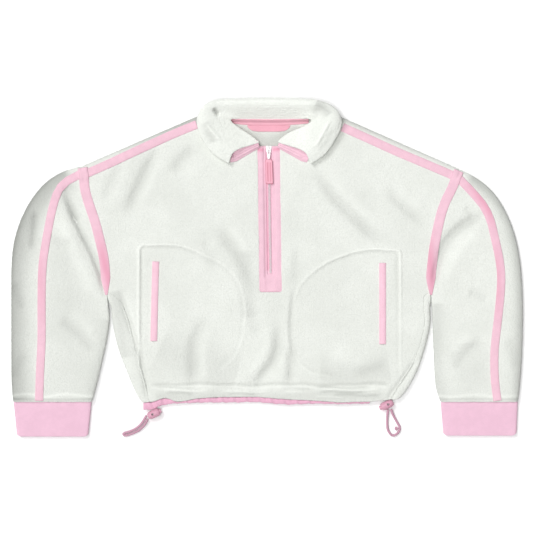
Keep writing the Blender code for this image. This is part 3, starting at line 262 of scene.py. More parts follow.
# The patch inside the neck: how many times wider and longer than its node, and its tone, a painted
# shade
PATCH_WIDER = 1.1
PATCH_LONGER = 1.14
PATCH_PAINTED_SHADE = -0.25

# Share of the faces that stay where a panel is hidden
HIDDEN_SHARE = 0.08

# Spacing of the points of a tape, along and across it
TAPE_ROW = 1.7
TAPE_COLUMN = 1.1

# How far each tape runs on past its upper and its lower end, to meet its neighbours
TAPE_ENDS = {
    "shoulder_tape": (6.0, 9.0),
    "sleeve_tape": (9.0, 1.0),
    "armhole_tape": (3.0, 2.0),
    "welt": (0.0, 0.0),
}

# Stitched outline of each pocket bag: a raised line with a groove along its inside
POCKET_R = (
    (-222.8, -188.3), (-222.8, 8.2), (-220.2, 34.3), (-203.7, 38.1), (-151.5, 36.9), (-108.0, 20.4),
    (-69.7, -0.5), (-47.1, -30.0), (-37.9, -68.2), (-39.3, -110.0), (-54.1, -153.5),
    (-81.9, -181.3),
)
POCKET_L = (
    (232.2, -179.6), (231.3, 8.2), (227.8, 26.5), (205.2, 30.0), (177.4, 30.8), (140.8, 23.0),
    (97.3, 3.9), (59.9, -29.1), (44.2, -69.1), (42.0, -113.5), (49.6, -158.0), (74.7, -183.1),
    (109.5, -190.9),
)
# How strongly each stretch of the pocket lines stands out, from the first point to the last
POCKET_R_SHOWS = (0.5, 0.75, 0.8, 1.0, 1.0, 1.0, 0.8, 0.35, 0.3, 0.3, 0.3, 0.2)
POCKET_L_SHOWS = (0.3, 0.4, 0.5, 0.9, 1.0, 1.0, 1.0, 0.7, 0.3, 0.2, 0.2, 0.3, 0.4)

# Channel of the drawcord: stitch line across the front, and the gathers between it and the hem
CHANNEL_Y = -204.0
CHANNEL_FROM_X = -204.0
CHANNEL_TO_X = 216.0
# Each gather: x from, x to, y, rise
GATHERS = (
    (80, 186, -209.5, -1.9), (98, 200, -214.0, 1.6), (86, 178, -218.5, -2.0),
    (112, 204, -223.0, -1.6), (78, 140, -226.5, 1.3), (-198, -118, -209.5, -1.6),
    (-186, -96, -215.0, 1.5), (-180, -118, -220.5, -1.7), (-96, -30, -211.0, -1.2),
    (-84, 6, -217.0, 1.2), (-70, -10, -222.0, -1.2), (20, 84, -212.0, -1.4), (26, 70, -218.0, 1.2),
)

# Drawcord loops, the same points as the CAD model's
CORD_R_ROUTE = (
    (-209.93, -258.95, 6.8), (-213.23, -264.75, 5.4), (-218.23, -272.55, 3.2),
    (-225.83, -279.95, 2.4), (-235.63, -285.35, 2.4), (-246.03, -288.55, 2.4),
    (-250.03, -290.95, 2.4), (-246.43, -293.35, 2.4), (-235.03, -290.35, 2.4),
    (-223.23, -284.55, 2.4), (-214.23, -276.15, 3.2), (-209.63, -268.95, 5.4),
    (-208.03, -264.85, 6.8),
)
CORD_L_ROUTE = (
    (210.27, -248.35, 6.4), (209.07, -260.05, 3.6), (208.97, -275.95, 2.4), (210.97, -285.55, 2.4),
    (216.97, -292.95, 2.4), (223.37, -292.35, 2.4), (229.37, -286.35, 2.4), (230.37, -278.55, 2.4),
    (225.77, -269.95, 2.4), (219.27, -258.05, 3.8), (215.47, -247.95, 6.0),
)


# ---------------------------------------------------------------- properties


def length_property(name, description, default, least):
    return FloatProperty(
        name=name, description=description, default=default, min=least, unit="LENGTH", precision=5
    )


def colour_property(name, description, default):
    return FloatVectorProperty(
        name=name, description=description, default=default, subtype="COLOR", min=0.0, max=1.0
    )


def strength_property(name, description, default):
    return FloatProperty(name=name, description=description, default=default, min=0.0)


class FleeceSettings(bpy.types.PropertyGroup):
    """Sizes and colours of the sherpa"""

    net: length_property("Net", "Spacing of the points of the panels", 0.0018, 0.0008)
    tuft: length_property("Tuft", "Distance between the pile's tufts", 0.0046, 0.001)
    tuft_height: length_property("Tuft height", "Height of the tufts over their gaps", 0.0005, 0.0)
    colour: colour_property("Pile", "Colour of the tufts", (0.80, 0.82, 0.775))
    gap_colour: colour_property("Gaps", "Colour between the tufts", (0.68, 0.70, 0.655))


class TrimSettings(bpy.types.PropertyGroup):
    """Sizes and colours of the pink tapes, cuffs and facings"""

    thickness: length_property("Thickness", "Thickness of a tape", 0.0013, 0.0002)
    stitch: length_property("Stitch", "Length of a stitch with the space after it", 0.0032, 0.001)
    margin: length_property("Margin", "Distance of the stitches from a tape's edge", 0.0021, 0.0005)
    thread: length_property("Thread", "Thickness of the sewing thread", 0.0005, 0.0001)
    colour: colour_property("Tape", "Colour of the tapes", (0.89, 0.575, 0.68))
    cuff_colour: colour_property("Cuff", "Colour of the cuffs", (0.86, 0.55, 0.685))
    neck_colour: colour_property("Neck", "Colour of the neck's tape and patch", (0.87, 0.46, 0.55))
    casing_colour: colour_property("Casing", "Colour of the hem's casing", (0.84, 0.47, 0.62))


class ZipSettings(bpy.types.PropertyGroup):
    """Sizes and colours of the zip and the cord locks"""

    pitch: length_property("Pitch", "Distance between the teeth of one side", 0.0024, 0.001)
    tooth: length_property("Tooth", "Length of a tooth across the chain", 0.0030, 0.001)
    teeth_colour: colour_property("Teeth", "Colour of the teeth", (0.75, 0.66, 0.69))
    metal_colour: colour_property("Slider", "Colour of the slider and link", (0.86, 0.86, 0.86))
    pull_colour: colour_property("Puller", "Colour of the moulded puller", (0.84, 0.42, 0.52))
    lock_colour: colour_property("Locks", "Colour of the locks and buttons", (0.68, 0.35, 0.46))


class CordSettings(bpy.types.PropertyGroup):
    """Sizes and colours of the drawcord"""

    diameter: length_property("Diameter", "Diameter of the drawcord", 0.0042, 0.001)
    braid: length_property("Braid", "Length of one turn of a strand of the braid", 0.009, 0.002)
    sides: IntProperty(name="Sides", description="Points round the cord", default=24, min=8)
    colour: colour_property("Cord", "Colour of the drawcord", (0.60, 0.34, 0.44))


class StageSettings(bpy.types.PropertyGroup):
    """Floor, light and camera"""

    floor_colour: colour_property("Floor", "Colour of the floor", (1.0, 1.0, 1.0))
    sky: strength_property("Sky", "Strength of the even light", 0.13)
    overhead: strength_property("Overhead", "Brightness of the floor by the light above", 0.48)
    key: strength_property("Key", "Brightness of the floor by the upper left light", 0.37)
    fill: strength_property("Fill", "Brightness of the floor by the hem's side light", 0.19)
    lens: FloatProperty(
        name="Lens", description="Focal length in millimetres", default=300.0, min=1.0
    )
    view_width: length_property("View", "Width of floor that the camera sees", 0.92742, 0.1)


SETTINGS = {
    "pullover_fleece": FleeceSettings,
    "pullover_trim": TrimSettings,
    "pullover_zip": ZipSettings,
    "pullover_cord": CordSettings,
    "pullover_stage": StageSettings,
}


# ---------------------------------------------------------------- points and paths


def smooth_path(points, count):
    """Points evenly spaced along a smooth curve through the given ones."""
    points = np.asarray(points, float)
    ends = np.vstack([2 * points[0] - points[1], points, 2 * points[-1] - points[-2]])
    fine = []
    for i in range(len(points) - 1):
        a, b, c, d = ends[i : i + 4]
        for t in np.arange(0, 1, 0.05):
            bend = 2 * b + (c - a) * t + (2 * a - 5 * b + 4 * c - d) * t**2
            fine.append(0.5 * (bend + (3 * b - a - 3 * c + d) * t**3))
    fine.append(points[-1])
    return evenly(np.array(fine), count)


def lengths(points):
    steps = np.linalg.norm(np.diff(points, axis=0), axis=1)
    return np.concatenate([[0], np.cumsum(steps)])


def evenly(points, count):
    along = lengths(points)
    wanted = np.linspace(0, along[-1], count)
    return np.column_stack([np.interp(wanted, along, axis) for axis in np.asarray(points).T])


def ease(value):
    value = np.clip(value, 0, 1)
    return value * value * (3 - 2 * value)


def bell(away, half):
    """1 on a line, easing to 0 at each side of it."""
    return np.exp(-((away / half) ** 2))


def nearest_on(xy, path):
    """Signed distance to the left of a path, and the share of its length, for plan points."""
    along = lengths(path)
    best = np.full(len(xy), 1e9)
    signed = np.full(len(xy), 1e9)
    share = np.zeros(len(xy))
    for i in range(len(path) - 1):
        start = path[i]
        way = path[i + 1] - start
        size = np.dot(way, way)
        offset = xy - start
        t = np.clip((offset @ way) / size, 0, 1)
        gap = offset - t[:, None] * way
        far = np.hypot(gap[:, 0], gap[:, 1])
        closer = far < best
        side = np.sign(way[0] * offset[:, 1] - way[1] * offset[:, 0])
        best[closer] = far[closer]
        signed[closer] = (far * side)[closer]
        share[closer] = ((along[i] + t * (along[i + 1] - along[i])) / along[-1])[closer]
    return signed, share


def fold_heights(xy, folds, ends=0.3):
    """Rise of soft folds at plan points, each fading out over a share of its length at its ends."""
    height = np.zeros(len(xy))
    for way, half, rise in folds:
        path = smooth_path(way, 3 * len(way))
        low = path.min(axis=0) - 3 * half
        high = path.max(axis=0) + 3 * half
        near = ((xy > low) & (xy < high)).all(axis=1)
        if not near.any():
            continue
        signed, share = nearest_on(xy[near], path)
        fade = ease(share / ends) * ease((1 - share) / ends)
        height[near] += rise * fade * bell(signed, half)
    return height


def pocket_heights(xy):
    """The pocket bags' stitched outlines: a narrow raised line beside a groove."""
    height = np.zeros(len(xy))
    for table, shows, inner in ((POCKET_R, POCKET_R_SHOWS, 1), (POCKET_L, POCKET_L_SHOWS, -1)):
        path = smooth_path(table, 90)
        signed, share = nearest_on(xy, path)
        strength = np.interp(share, np.linspace(0, 1, len(shows)), shows)
        ridge = bell(signed * inner, 2.3)
        groove = bell(signed * inner + 5.0, 3.0)
        height += strength * (1.7 * ridge - 1.3 * groove)
    return height


def channel_heights(xy):
    """The drawcord channel: a stitched groove, a padded ridge below it, and gathers."""
    x, y = xy.T
    ends = ease((x - CHANNEL_FROM_X) / 14) * ease((CHANNEL_TO_X - x) / 14)
    wave = 1.2 * np.sin(x / 23.0) + 0.7 * np.sin(x / 9.7 + 1.0)
    groove = bell(y - CHANNEL_Y - wave, 2.2)
    ridge = bell(y - CHANNEL_Y - wave + 5.5, 3.6)
    height = ends * (-1.7 * groove + 1.2 * ridge)
    for x1, x2, row, rise in GATHERS:
        middle = row + 1.0 * np.sin((x - x1) / 13.0)
        fade = ease((x - x1) / 16) * ease((x2 - x) / 16)
        height += rise * fade * bell(y - middle, 1.9)
    return height


def tufts(points, size, seed):
    """Round tufts of pile, 0 in the gaps and 1 on top, from a jittered net of centres."""
    cell = np.floor(points / size)
    best = np.full(len(points), 1e9)
    mix = np.array([[127.1, 311.7, 74.7], [269.5, 183.3, 246.1], [113.5, 271.9, 124.6]])
    for dx in (-1, 0, 1):
        for dy in (-1, 0, 1):
            for dz in (-1, 0, 1):
                corner = cell + (dx, dy, dz)
                jitter = np.mod(np.sin(corner @ mix.T + seed) * 43758.5453, 1.0)
                far = points / size - corner - 0.12 - 0.76 * jitter
                best = np.minimum(best, (far * far).sum(axis=1))
    return np.clip(1 - best / 0.62, 0, 1)


# ---------------------------------------------------------------- meshes


def link(name, data):
    """An object of a mesh, curve, light or camera, put in the scene."""
    piece = bpy.data.objects.new(name, data)
    bpy.context.scene.collection.objects.link(piece)
    return piece


def piece_of(name, points, faces, material):
    """A smooth-shaded piece of points in millimetres."""
    mesh = bpy.data.meshes.new(name)
    mesh.from_pydata((np.asarray(points) * MM).tolist(), [], [tuple(face) for face in faces])
    mesh.update()
    mesh.shade_smooth()
    mesh.materials.append(material)
    return link(name, mesh)


def seat(piece, node_name=None, body=BODY):
    """Puts a piece on its body, and in place of its node where it has one."""
    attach(piece, body)
    if node_name is not None:
        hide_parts(node_name)


def dressed(piece, points, look_name, node_name):
    """A pink piece with its last points and look, seated in place of its node."""
    write_points(piece.data, points)
    piece.data.shade_smooth()
    piece.data.materials.append(look(look_name))
    seat(piece, node_name)


def tube_faces(rows, count, inward=False):
    """Faces of a closed tube of rows of points, with both its ends."""
    faces = []
    for row in range(rows - 1):
        for column in range(count):
            a = row * count + column
            b = row * count + (column + 1) % count
            faces.append((a, a + count, b + count, b) if inward else (a, b, b + count, a + count))
    first = tuple(range(count))
    last = tuple((rows - 1) * count + i for i in range(count))
    return faces + ([first, last[::-1]] if inward else [first[::-1], last])


def node_form(name):
    """A CAD node's form, with its points joined."""
    form = bmesh.new()
    form.from_mesh(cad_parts[name].data)
    bmesh.ops.remove_doubles(form, verts=form.verts, dist=2e-6)
    return form


def recoated(mesh, look_name):
    """Gives a mesh one look in place of those that it has."""
    mesh.materials.clear()
    mesh.materials.append(look(look_name))


def box_of(name):
    """The low and high corners of a node's box, in millimetres."""
    return (np.array(corner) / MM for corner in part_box(name))


def applied(piece):
    """Puts the result of a piece's modifiers in place of its mesh."""
    graph = bpy.context.evaluated_depsgraph_get()
    done = bpy.data.meshes.new_from_object(piece.evaluated_get(graph))
    old = piece.data
    piece.modifiers.clear()
    piece.data = done
    bpy.data.meshes.remove(old)
    return piece


def welded(name):
    """A copy of a CAD node's mesh with its points joined and its triangles paired."""
    form = node_form(name)
    bmesh.ops.join_triangles(
        form, faces=form.faces, angle_face_threshold=0.5, angle_shape_threshold=0.9
    )
    crease = form.edges.layers.float.new("crease_edge")
    for edge in form.edges:
        if len(edge.link_faces) == 2 and edge.calc_face_angle() > math.radians(52):
            edge[crease] = 1.0
    mesh = bpy.data.meshes.new(name)
    form.to_mesh(mesh)
    form.free()
    return mesh


def even_net(name, node_name, spacing, stretch=1.0):
    """A node's form as a smooth closed net of even quads, finer in height by the stretch."""
    piece = link(name, welded(node_name))
    write_points(piece.data, read_points(piece.data) * (1, 1, stretch))
    rounding = piece.modifiers.new("rounding", "SUBSURF")
    rounding.levels = 2
    rounding.render_levels = 2
    net = piece.modifiers.new("net", "REMESH")
    net.mode = "VOXEL"
    net.voxel_size = spacing
    applied(piece)
    write_points(piece.data, read_points(piece.data) / (1, 1, stretch))
    return piece


def read_rows(items, key, size, kind=np.float32):
    """One value of each item of a mesh, as rows of numbers."""
    values = np.empty(len(items) * size, kind)
    items.foreach_get(key, values)
    return values.reshape(-1, size)


def read_points(mesh):
    return read_rows(mesh.vertices, "co", 3).astype(float) / MM


def read_normals(mesh):
    return read_rows(mesh.vertex_normals, "vector", 3).astype(float)


def read_net(mesh):
    """A mesh's points in millimetres, its normals and its edges."""
    edges = read_rows(mesh.edges, "vertices", 2, np.int32)
    return read_points(mesh), read_normals(mesh), edges


def write_points(mesh, points):
    mesh.vertices.foreach_set("co", (points * MM).astype(np.float32).ravel())
    mesh.update()


def relaxed(values, edges, free, rounds):
    """Values eased towards the mean of their neighbours, as far as each is free."""
    a, b = edges.T
    size = len(values)
    count = np.maximum(np.bincount(a, minlength=size) + np.bincount(b, minlength=size), 1)
    for _ in range(rounds):
        total = np.bincount(a, values[b], size) + np.bincount(b, values[a], size)
        values = values + 0.5 * free * (total / count - values)
    return values


def relax_points(points, edges, rounds):
    """Moves points towards the mean of their neighbours."""
    for axis in range(3):
        points[:, axis] = relaxed(points[:, axis], edges, 1.0, rounds)


def thinned(piece, hidden, keep):
    """Fewer faces where a piece doesn't show."""
    group = piece.vertex_groups.new(name="hidden")
    group.add(np.nonzero(hidden)[0].tolist(), 1.0, "REPLACE")
    fewer = piece.modifiers.new("fewer", "DECIMATE")
    fewer.ratio = 1 - hidden.mean() * (1 - keep)
    fewer.vertex_group = "hidden"
    fewer.vertex_group_factor = 10.0
    applied(piece)
    piece.vertex_groups.clear()


def form_of(piece):
    """A piece's present form as a target for rays, in millimetres."""
    mesh = piece.data
    mesh.calc_loop_triangles()
    corners = read_rows(mesh.loop_triangles, "vertices", 3, np.int32)
    return BVHTree.FromPolygons(read_points(mesh).tolist(), corners.tolist())


# Forms that tapes and facings are draped on, by the name of their node
GROUND = {}
DOWN = Vector((0, 0, -1))


def ground_heights(xy, names):
    """Height of the highest of the named pieces under each plan point."""
    heights = np.full(len(xy), np.nan)
    for name in names:
        tree = GROUND[name]
        for i, (x, y) in enumerate(xy):
            hit = tree.ray_cast(Vector((x, y, RAYS_FROM)), DOWN)[0]
            if hit is not None and not heights[i] > hit.z:
                heights[i] = hit.z
    return heights


def filled(heights):
    """Rows of heights with the missing ones taken from their neighbours."""
    for row in heights:
        known = np.nonzero(~np.isnan(row))[0]
        if len(known):
            row[:] = np.interp(np.arange(len(row)), known, row[known])
    for column in heights.T:
        known = np.nonzero(~np.isnan(column))[0]
        column[:] = np.interp(np.arange(len(column)), known, column[known])
    return heights


# ---------------------------------------------------------------- materials


def start_material(name, colour, **sockets):
    """A material, its tree and its shader, with values for the shader's own sockets."""
    made = bpy.data.materials.new(name)
    made.use_nodes = True
    shader = made.node_tree.nodes["Principled BSDF"]
    shader.inputs["Base Color"].default_value = (*colour, 1.0)
    for key, value in sockets.items():
        shader.inputs[key.replace("_", " ")].default_value = value
    return made, made.node_tree, shader


def node(tree, kind, **values):
    made = tree.nodes.new(kind)
    for key, value in values.items():
        if hasattr(made, key):
            setattr(made, key, value)
        else:
            made.inputs[key.replace("_", " ")].default_value = value
    return made


def stretched(tree, scale, turn=0.0):
    """Coordinates on the piece, scaled and turned about Z."""
    where = node(tree, "ShaderNodeTexCoord")
    mapping = node(tree, "ShaderNodeMapping", Scale=scale, Rotation=(0.0, 0.0, turn))
    tree.links.new(where.outputs["Object"], mapping.inputs["Vector"])
    return mapping.outputs["Vector"]


def textured(tree, at, kind, output="Fac", **values):
    """One output of a texture at the given coordinates."""
    texture = node(tree, kind, **values)
    tree.links.new(at, texture.inputs["Vector"])
    return texture.outputs[output]


def noise(tree, at, scale, detail, roughness):
    return textured(
        tree, at, "ShaderNodeTexNoise", Scale=scale, Detail=detail, Roughness=roughness
    )


def tone_mark(tree):
    """The marks that the script puts on a piece's points, below 0 for painted shade and above 0 for
    painted highlight.
    """
    return node(tree, "ShaderNodeAttribute", attribute_name="tone").outputs["Fac"]


def times(colour, *shares):
    """A colour with all its channels, or each one, times a share."""
    return tuple(np.array(colour) * (shares if len(shares) > 1 else shares[0]))


def blended(tree, factor, first, second):
    mix = node(tree, "ShaderNodeMix", data_type="RGBA")
    for socket, value in (("A", first), ("B", second)):
        target = next(s for s in mix.inputs if s.name == socket and s.type == "RGBA")
        if isinstance(value, bpy.types.NodeSocket):
            tree.links.new(value, target)
        else:
            target.default_value = (*value, 1.0)
    tree.links.new(factor, mix.inputs["Factor"])
    return next(s for s in mix.outputs if s.type == "RGBA")


def ranged(tree, value, low, high, to_low=0.0, to_high=1.0):
    limits = {"From_Min": low, "From_Max": high, "To_Min": to_low, "To_Max": to_high}
    remap = node(tree, "ShaderNodeMapRange", **limits)
    tree.links.new(value, remap.inputs["Value"])
    return remap.outputs["Result"]


def bumped(tree, shader, *layers):
    """Bump layers one on the other, each a height and its distance in metres."""
    before = None
    for height, distance in layers:
        bump = node(tree, "ShaderNodeBump", Strength=1.0, Distance=distance)
        tree.links.new(height, bump.inputs["Height"])
        if before is not None:
            tree.links.new(before, bump.inputs["Normal"])
        before = bump.outputs["Normal"]
    tree.links.new(before, shader.inputs["Normal"])


def sherpa_look(name, settings, shade=1.0):
    """Curly off-white pile: tufts, darker gaps, fine fibres, a faint grain across, and painted
    shade and highlight from the tone marks.
    """
    tips = times(settings.colour, shade)
    gaps = times(settings.gap_colour, shade)
    made, tree, shader = start_material(
        name, tips, Roughness=1.0, Sheen_Weight=0.25, Sheen_Roughness=0.6, Specular_IOR_Level=0.1
    )
    at = stretched(tree, (1, 1, 1))
    curls = textured(
        tree, at, "ShaderNodeTexVoronoi", "Distance", feature="F1", Scale=420.0, Randomness=1.0
    )
    fibres = noise(tree, at, 1500.0, 4.0, 0.65)
    clouds = noise(tree, at, 38.0, 3.0, 0.55)
    broad = noise(tree, at, 13.0, 2.0, 0.5)
    grain = noise(tree, stretched(tree, (70, 520, 70)), 1.0, 3.0, 0.6)
    colour = tips
    for pattern, low, high, strength in (
        (ranged(tree, curls, 0.15, 0.85), 0.35, 1.0, 0.55),
        (clouds, 0.35, 0.7, 0.3),
        (broad, 0.42, 0.62, 0.4),
        (grain, 0.4, 0.75, 0.25),
    ):
        colour = blended(tree, ranged(tree, pattern, low, high, 0.0, strength), colour, gaps)
    # Painted shade where the tone marks are below 0, and painted highlight where they are above 0
    tone = tone_mark(tree)
    colour = blended(tree, ranged(tree, tone, 0.0, -2.0), colour, times(gaps, 0.45))
    painted_highlight_lift = min(1.22, 0.99 / max(tips))
    colour = blended(tree, ranged(tree, tone, 0.0, 1.0, 0.0, 0.9), colour, times(tips, painted_highlight_lift))
    tree.links.new(colour, shader.inputs["Base Color"])
    bumped(tree, shader, (ranged(tree, curls, 0.0, 0.9, 1.0, 0.0), 0.0005), (fibres, 0.00025))
    return made


def cloth_look(name, colour, across=1150.0, up=1150.0, turn=0.78, depth=0.00007):
    """Fine woven or knitted trim: two crossing sets of threads, a soft cloudiness, and painted
    shade where the tone marks are below 0.
    """
    made, tree, shader = start_material(
        name, colour, Roughness=0.8, Sheen_Weight=0.2, Sheen_Roughness=0.5, Specular_IOR_Level=0.25
    )
    weave = node(tree, "ShaderNodeMath", operation="MULTIPLY")
    for number, (scale, angle) in enumerate(((across, turn), (up, turn + math.pi / 2))):
        threads = textured(
            tree, stretched(tree, (5.0, 5.0, 5.0), angle), "ShaderNodeTexWave",
            wave_type="BANDS", bands_direction="X",
            Scale=scale / 20.0, Distortion=0.5, Detail=1.0, Detail_Scale=2.0,
        )
        tree.links.new(threads, weave.inputs[number])
    weave = weave.outputs["Value"]
    clouds = noise(tree, stretched(tree, (1, 1, 1)), 70.0, 3.0, 0.6)
    lighter = tuple(min(1.0, c * 1.04 + 0.01) for c in colour)
    shade = blended(tree, ranged(tree, weave, 0.0, 0.5), times(colour, 0.82), colour)
    shade = blended(tree, ranged(tree, clouds, 0.4, 0.7, 0.0, 0.35), shade, lighter)
    # Painted shade, a deeper pink, where the tone marks are below 0
    painted_tape_shade = ranged(tree, tone_mark(tree), 0.0, -1.0, 0.0, 0.9)
    shade = blended(tree, painted_tape_shade, shade, times(colour, 0.84, 0.58, 0.66))
    tree.links.new(shade, shader.inputs["Base Color"])
    bumped(tree, shader, (weave, depth))
    return made


def plain_look(name, colour, roughness, coat=0.0):
    """Moulded or enamelled finish with slight grain, wear of its gloss, and painted shade in
    hollows where the tone marks are below 0.
    """
    made, tree, shader = start_material(
        name, colour, Roughness=roughness, Coat_Weight=coat, Coat_Roughness=0.15
    )
    fine = noise(tree, stretched(tree, (1, 1, 1)), 900.0, 3.0, 0.6)
    rough = ranged(tree, fine, 0.3, 0.7, roughness * 0.85, min(1, roughness * 1.2))
    tree.links.new(rough, shader.inputs["Roughness"])
    shade = blended(tree, ranged(tree, fine, 0.35, 0.7), times(colour, 0.94), colour)
    # Painted shade where the tone marks are below 0
    painted_hollow_shade = ranged(tree, tone_mark(tree), 0.0, -1.0)
    shade = blended(tree, painted_hollow_shade, shade, times(colour, 0.7, 0.38, 0.45))
    tree.links.new(shade, shader.inputs["Base Color"])
    bumped(tree, shader, (fine, 0.00003))
    return made


LOOKS = {}


def look(name):
    """A material by name, made once from the settings."""
    if name not in LOOKS:
        scene = bpy.context.scene
        fleece = scene.pullover_fleece
        trim = scene.pullover_trim
        zip_parts = scene.pullover_zip
        recipes = {
            "sherpa": (sherpa_look, fleece),
            # The collar's sherpa is a tenth lighter than the rest: painted light
            "sherpa_collar": (sherpa_look, fleece, 1.1),
            "pink_tape": (cloth_look, trim.colour),
            "pink_welt": (cloth_look, tuple(min(1, c * 1.06) for c in trim.colour)),
            "pink_cuff": (cloth_look, trim.cuff_colour, 900, 700, 0.0, 0.00009),
            "pink_neck": (cloth_look, trim.neck_colour),
            "pink_casing": (cloth_look, trim.casing_colour),
            "pink_thread": (plain_look, times(trim.colour, 0.95), 0.6),
            "zip_teeth": (plain_look, zip_parts.teeth_colour, 0.4),
            "white_metal": (plain_look, zip_parts.metal_colour, 0.3, 0.5),
            "pink_plastic": (plain_look, zip_parts.pull_colour, 0.5),
            "pink_lock": (plain_look, zip_parts.lock_colour, 0.5),
            "cord": (cloth_look, scene.pullover_cord.colour, 1600, 1600, 0.78, 0.00005),
        }
        maker, *values = recipes[name]
        LOOKS[name] = maker(name, *values)
    return LOOKS[name]


# ---------------------------------------------------------------- fleece


def fleece_piece(
    node_name, folds, tones, seed, hidden=None, height=1.0, rounds=46, look_name="sherpa",
    moved=None
):
    """A panel of sherpa on its solid's form, with soft folds and tufted pile."""
    settings = bpy.context.scene.pullover_fleece
    piece = even_net(f"{node_name}_sherpa", node_name, settings.net, PANEL_FINER)
    mesh = piece.data
    points, normals, edges = read_net(mesh)
    face_up = ease((normals[:, 2] - 0.55) / 0.35)
    points[:, 2] = relaxed(points[:, 2], edges, face_up, rounds)
    relax_points(points, edges, 2)
    points[:, 2] += folds(points[:, :2]) * face_up
    write_points(mesh, points)
    GROUND[node_name] = form_of(piece)
    normals = read_normals(mesh)
    pile = tufts(points, settings.tuft / MM, seed) * settings.tuft_height / MM * height
    points += normals * (pile * ease((points[:, 2] - 0.2) / 2.0))[:, None]
    points[:, 2] = np.maximum(points[:, 2], 0.0)
    if moved is not None:
        points[:, :2] += moved(points[:, :2])
    write_points(mesh, points)
    if hidden is not None:
        thinned(piece, hidden(points, normals), HIDDEN_SHARE)
    mark_tones(piece.data, tones)
    piece.data.shade_smooth()
    piece.data.materials.append(look(look_name))
    seat(piece, node_name)
    return piece


def collar_moved(xy):
    """How the collar's upper edge is drawn in and its two points lie closer to the zip."""
    moved = np.zeros_like(xy)
    moved[:, 1] = -COLLAR_SHIFT * ease((xy[:, 1] - COLLAR_SHIFT_FROM_Y) / COLLAR_SHIFT_OVER)
    for spot, way in COLLAR_POINTS:
        away = ((xy - spot) ** 2).sum(axis=1)
        moved += np.exp(-away / COLLAR_POINT_REACH**2)[:, None] * way
    return moved


def mark_tones(mesh, tones):
    """Marks from -2 to 1 on the upward faces: below 0 for painted shade and above 0 for painted
    highlight.
    """
    up = ease((read_normals(mesh)[:, 2] + 0.4) / 0.5)
    xy = read_points(mesh)[:, :2]
    write_tones(mesh, np.clip(tones(xy) * up, -2, 1))


def write_tones(mesh, tones):
    marks = mesh.attributes.new("tone", "FLOAT", "POINT")
    marks.data.foreach_set("value", tones.astype(np.float32))


def back_folds(xy):
    return fold_heights(xy, SIDE_FOLDS, 0.15)


# Painted shade in the troughs of the side folds and painted highlight on their ridges, with the
# painted body and neck zones
def back_tones(xy):
    zones = fold_heights(xy, BODY_ZONES, 0.04) + fold_heights(xy, NECK_ZONES, 0.1)
    return 0.1 * back_folds(xy) + zones


def front_folds(xy):
    folds = fold_heights(xy, FRONT_FOLDS) + back_folds(xy)
    return folds + pocket_heights(xy) + channel_heights(xy)


# Painted shade in the troughs of the folds and the grooves of the pocket lines and the channel,
# painted highlight on their ridges, with the painted body zones
def front_tones(xy):
    folds = fold_heights(xy, FRONT_FOLDS) + back_folds(xy)
    stitched = 0.28 * pocket_heights(xy) + 0.3 * channel_heights(xy)
    return 0.12 * folds + stitched + fold_heights(xy, BODY_ZONES, 0.04)


def sleeve_folds(xy):
    return fold_heights(xy, SLEEVE_FOLDS, 0.2)


# Painted shade in the troughs of the sleeves' folds and painted highlight on their ridges, with the
# painted sleeve zones
def sleeve_tones(xy):
    return 0.13 * sleeve_folds(xy) + fold_heights(xy, SLEEVE_ZONES, 0.04)


def collar_folds(xy):
    return fold_heights(xy, COLLAR_FOLDS)


# Painted highlight on the collar's creases and painted shade beside them, with the painted collar
# zones
def collar_tones(xy):
    return 0.2 * collar_folds(xy) + fold_heights(xy, COLLAR_ZONES, 0.1)


# Painted shade on the tapes
def tape_tones(xy):
    return fold_heights(xy, TAPE_ZONES, 0.45)


# Painted shade on the zip facing
def facing_tones(xy):
    return fold_heights(xy, FACING_ZONES, 0.02)


def front_hidden(points, normals):
    return (normals[:, 2] < -0.6) & (points[:, 2] < 8.5)


def under_and_inner(points, normals, low, high):
    """The flat underside, and the level faces between two heights."""
    z = points[:, 2]
    under = (normals[:, 2] < -0.8) & (z < 0.8)
    return under, (z > low) & (z < high) & (np.abs(normals[:, 2]) > 0.6)


def back_hidden(points, normals):
    """The underside, and the inner face except in the neck opening."""
    x, y, z = points.T
    under, inner = under_and_inner(points, normals, 2.0, 8.5)
    neck = (np.hypot((x - 2.0) / 90.0, (y - 245.0) / 45.0) < 1) & (normals[:, 2] > 0)
    return under | (inner & ~neck)


def sleeve_hidden(points, normals):
    under, inner = under_and_inner(points, normals, 3.0, 9.5)
    return under | inner


# ---------------------------------------------------------------- tapes and stitches


def plan_outline(node_name):
    """The loop round a node's upper side, in plan, from its lower left corner."""
    form = node_form(node_name)
    upper = [face for face in form.faces if face.normal.z > 0.3]
    after = {}
    for face in upper:
        for loop in face.loops:
            others = [other for other in loop.edge.link_faces if other is not face]
            if not others or others[0] not in upper:
                after[loop.vert] = loop.link_loop_next.vert
    vert = min(after, key=lambda vert: vert.co.x + vert.co.y)
    loop_points = []
    for _ in range(len(after)):
        loop_points.append((vert.co.x / MM, vert.co.y / MM))
        vert = after[vert]
    form.free()
    return np.array(loop_points)


def ribbon_sides(node_name, rows):
    """The two long sides of a strip's node, both from the same end."""
    loop = plan_outline(node_name)
    before = loop - np.roll(loop, 1, axis=0)
    after = np.roll(loop, -1, axis=0) - loop
    turn = before[:, 0] * after[:, 1] - before[:, 1] * after[:, 0]
    turn = np.abs(np.arctan2(turn, (before * after).sum(axis=1)))
    corners = np.sort(np.argsort(turn)[-4:])
    runs = []
    for start, end in zip(corners, np.roll(corners, -1)):
        steps = (end - start) % len(loop)
        runs.append(loop[(start + np.arange(steps + 1)) % len(loop)])
    sizes = [lengths(run)[-1] for run in runs]
    if sizes[0] + sizes[2] > sizes[1] + sizes[3]:
        left, right = runs[0], runs[2][::-1]
    else:
        left, right = runs[1], runs[3][::-1]
    return evenly(left, rows), evenly(right, rows)


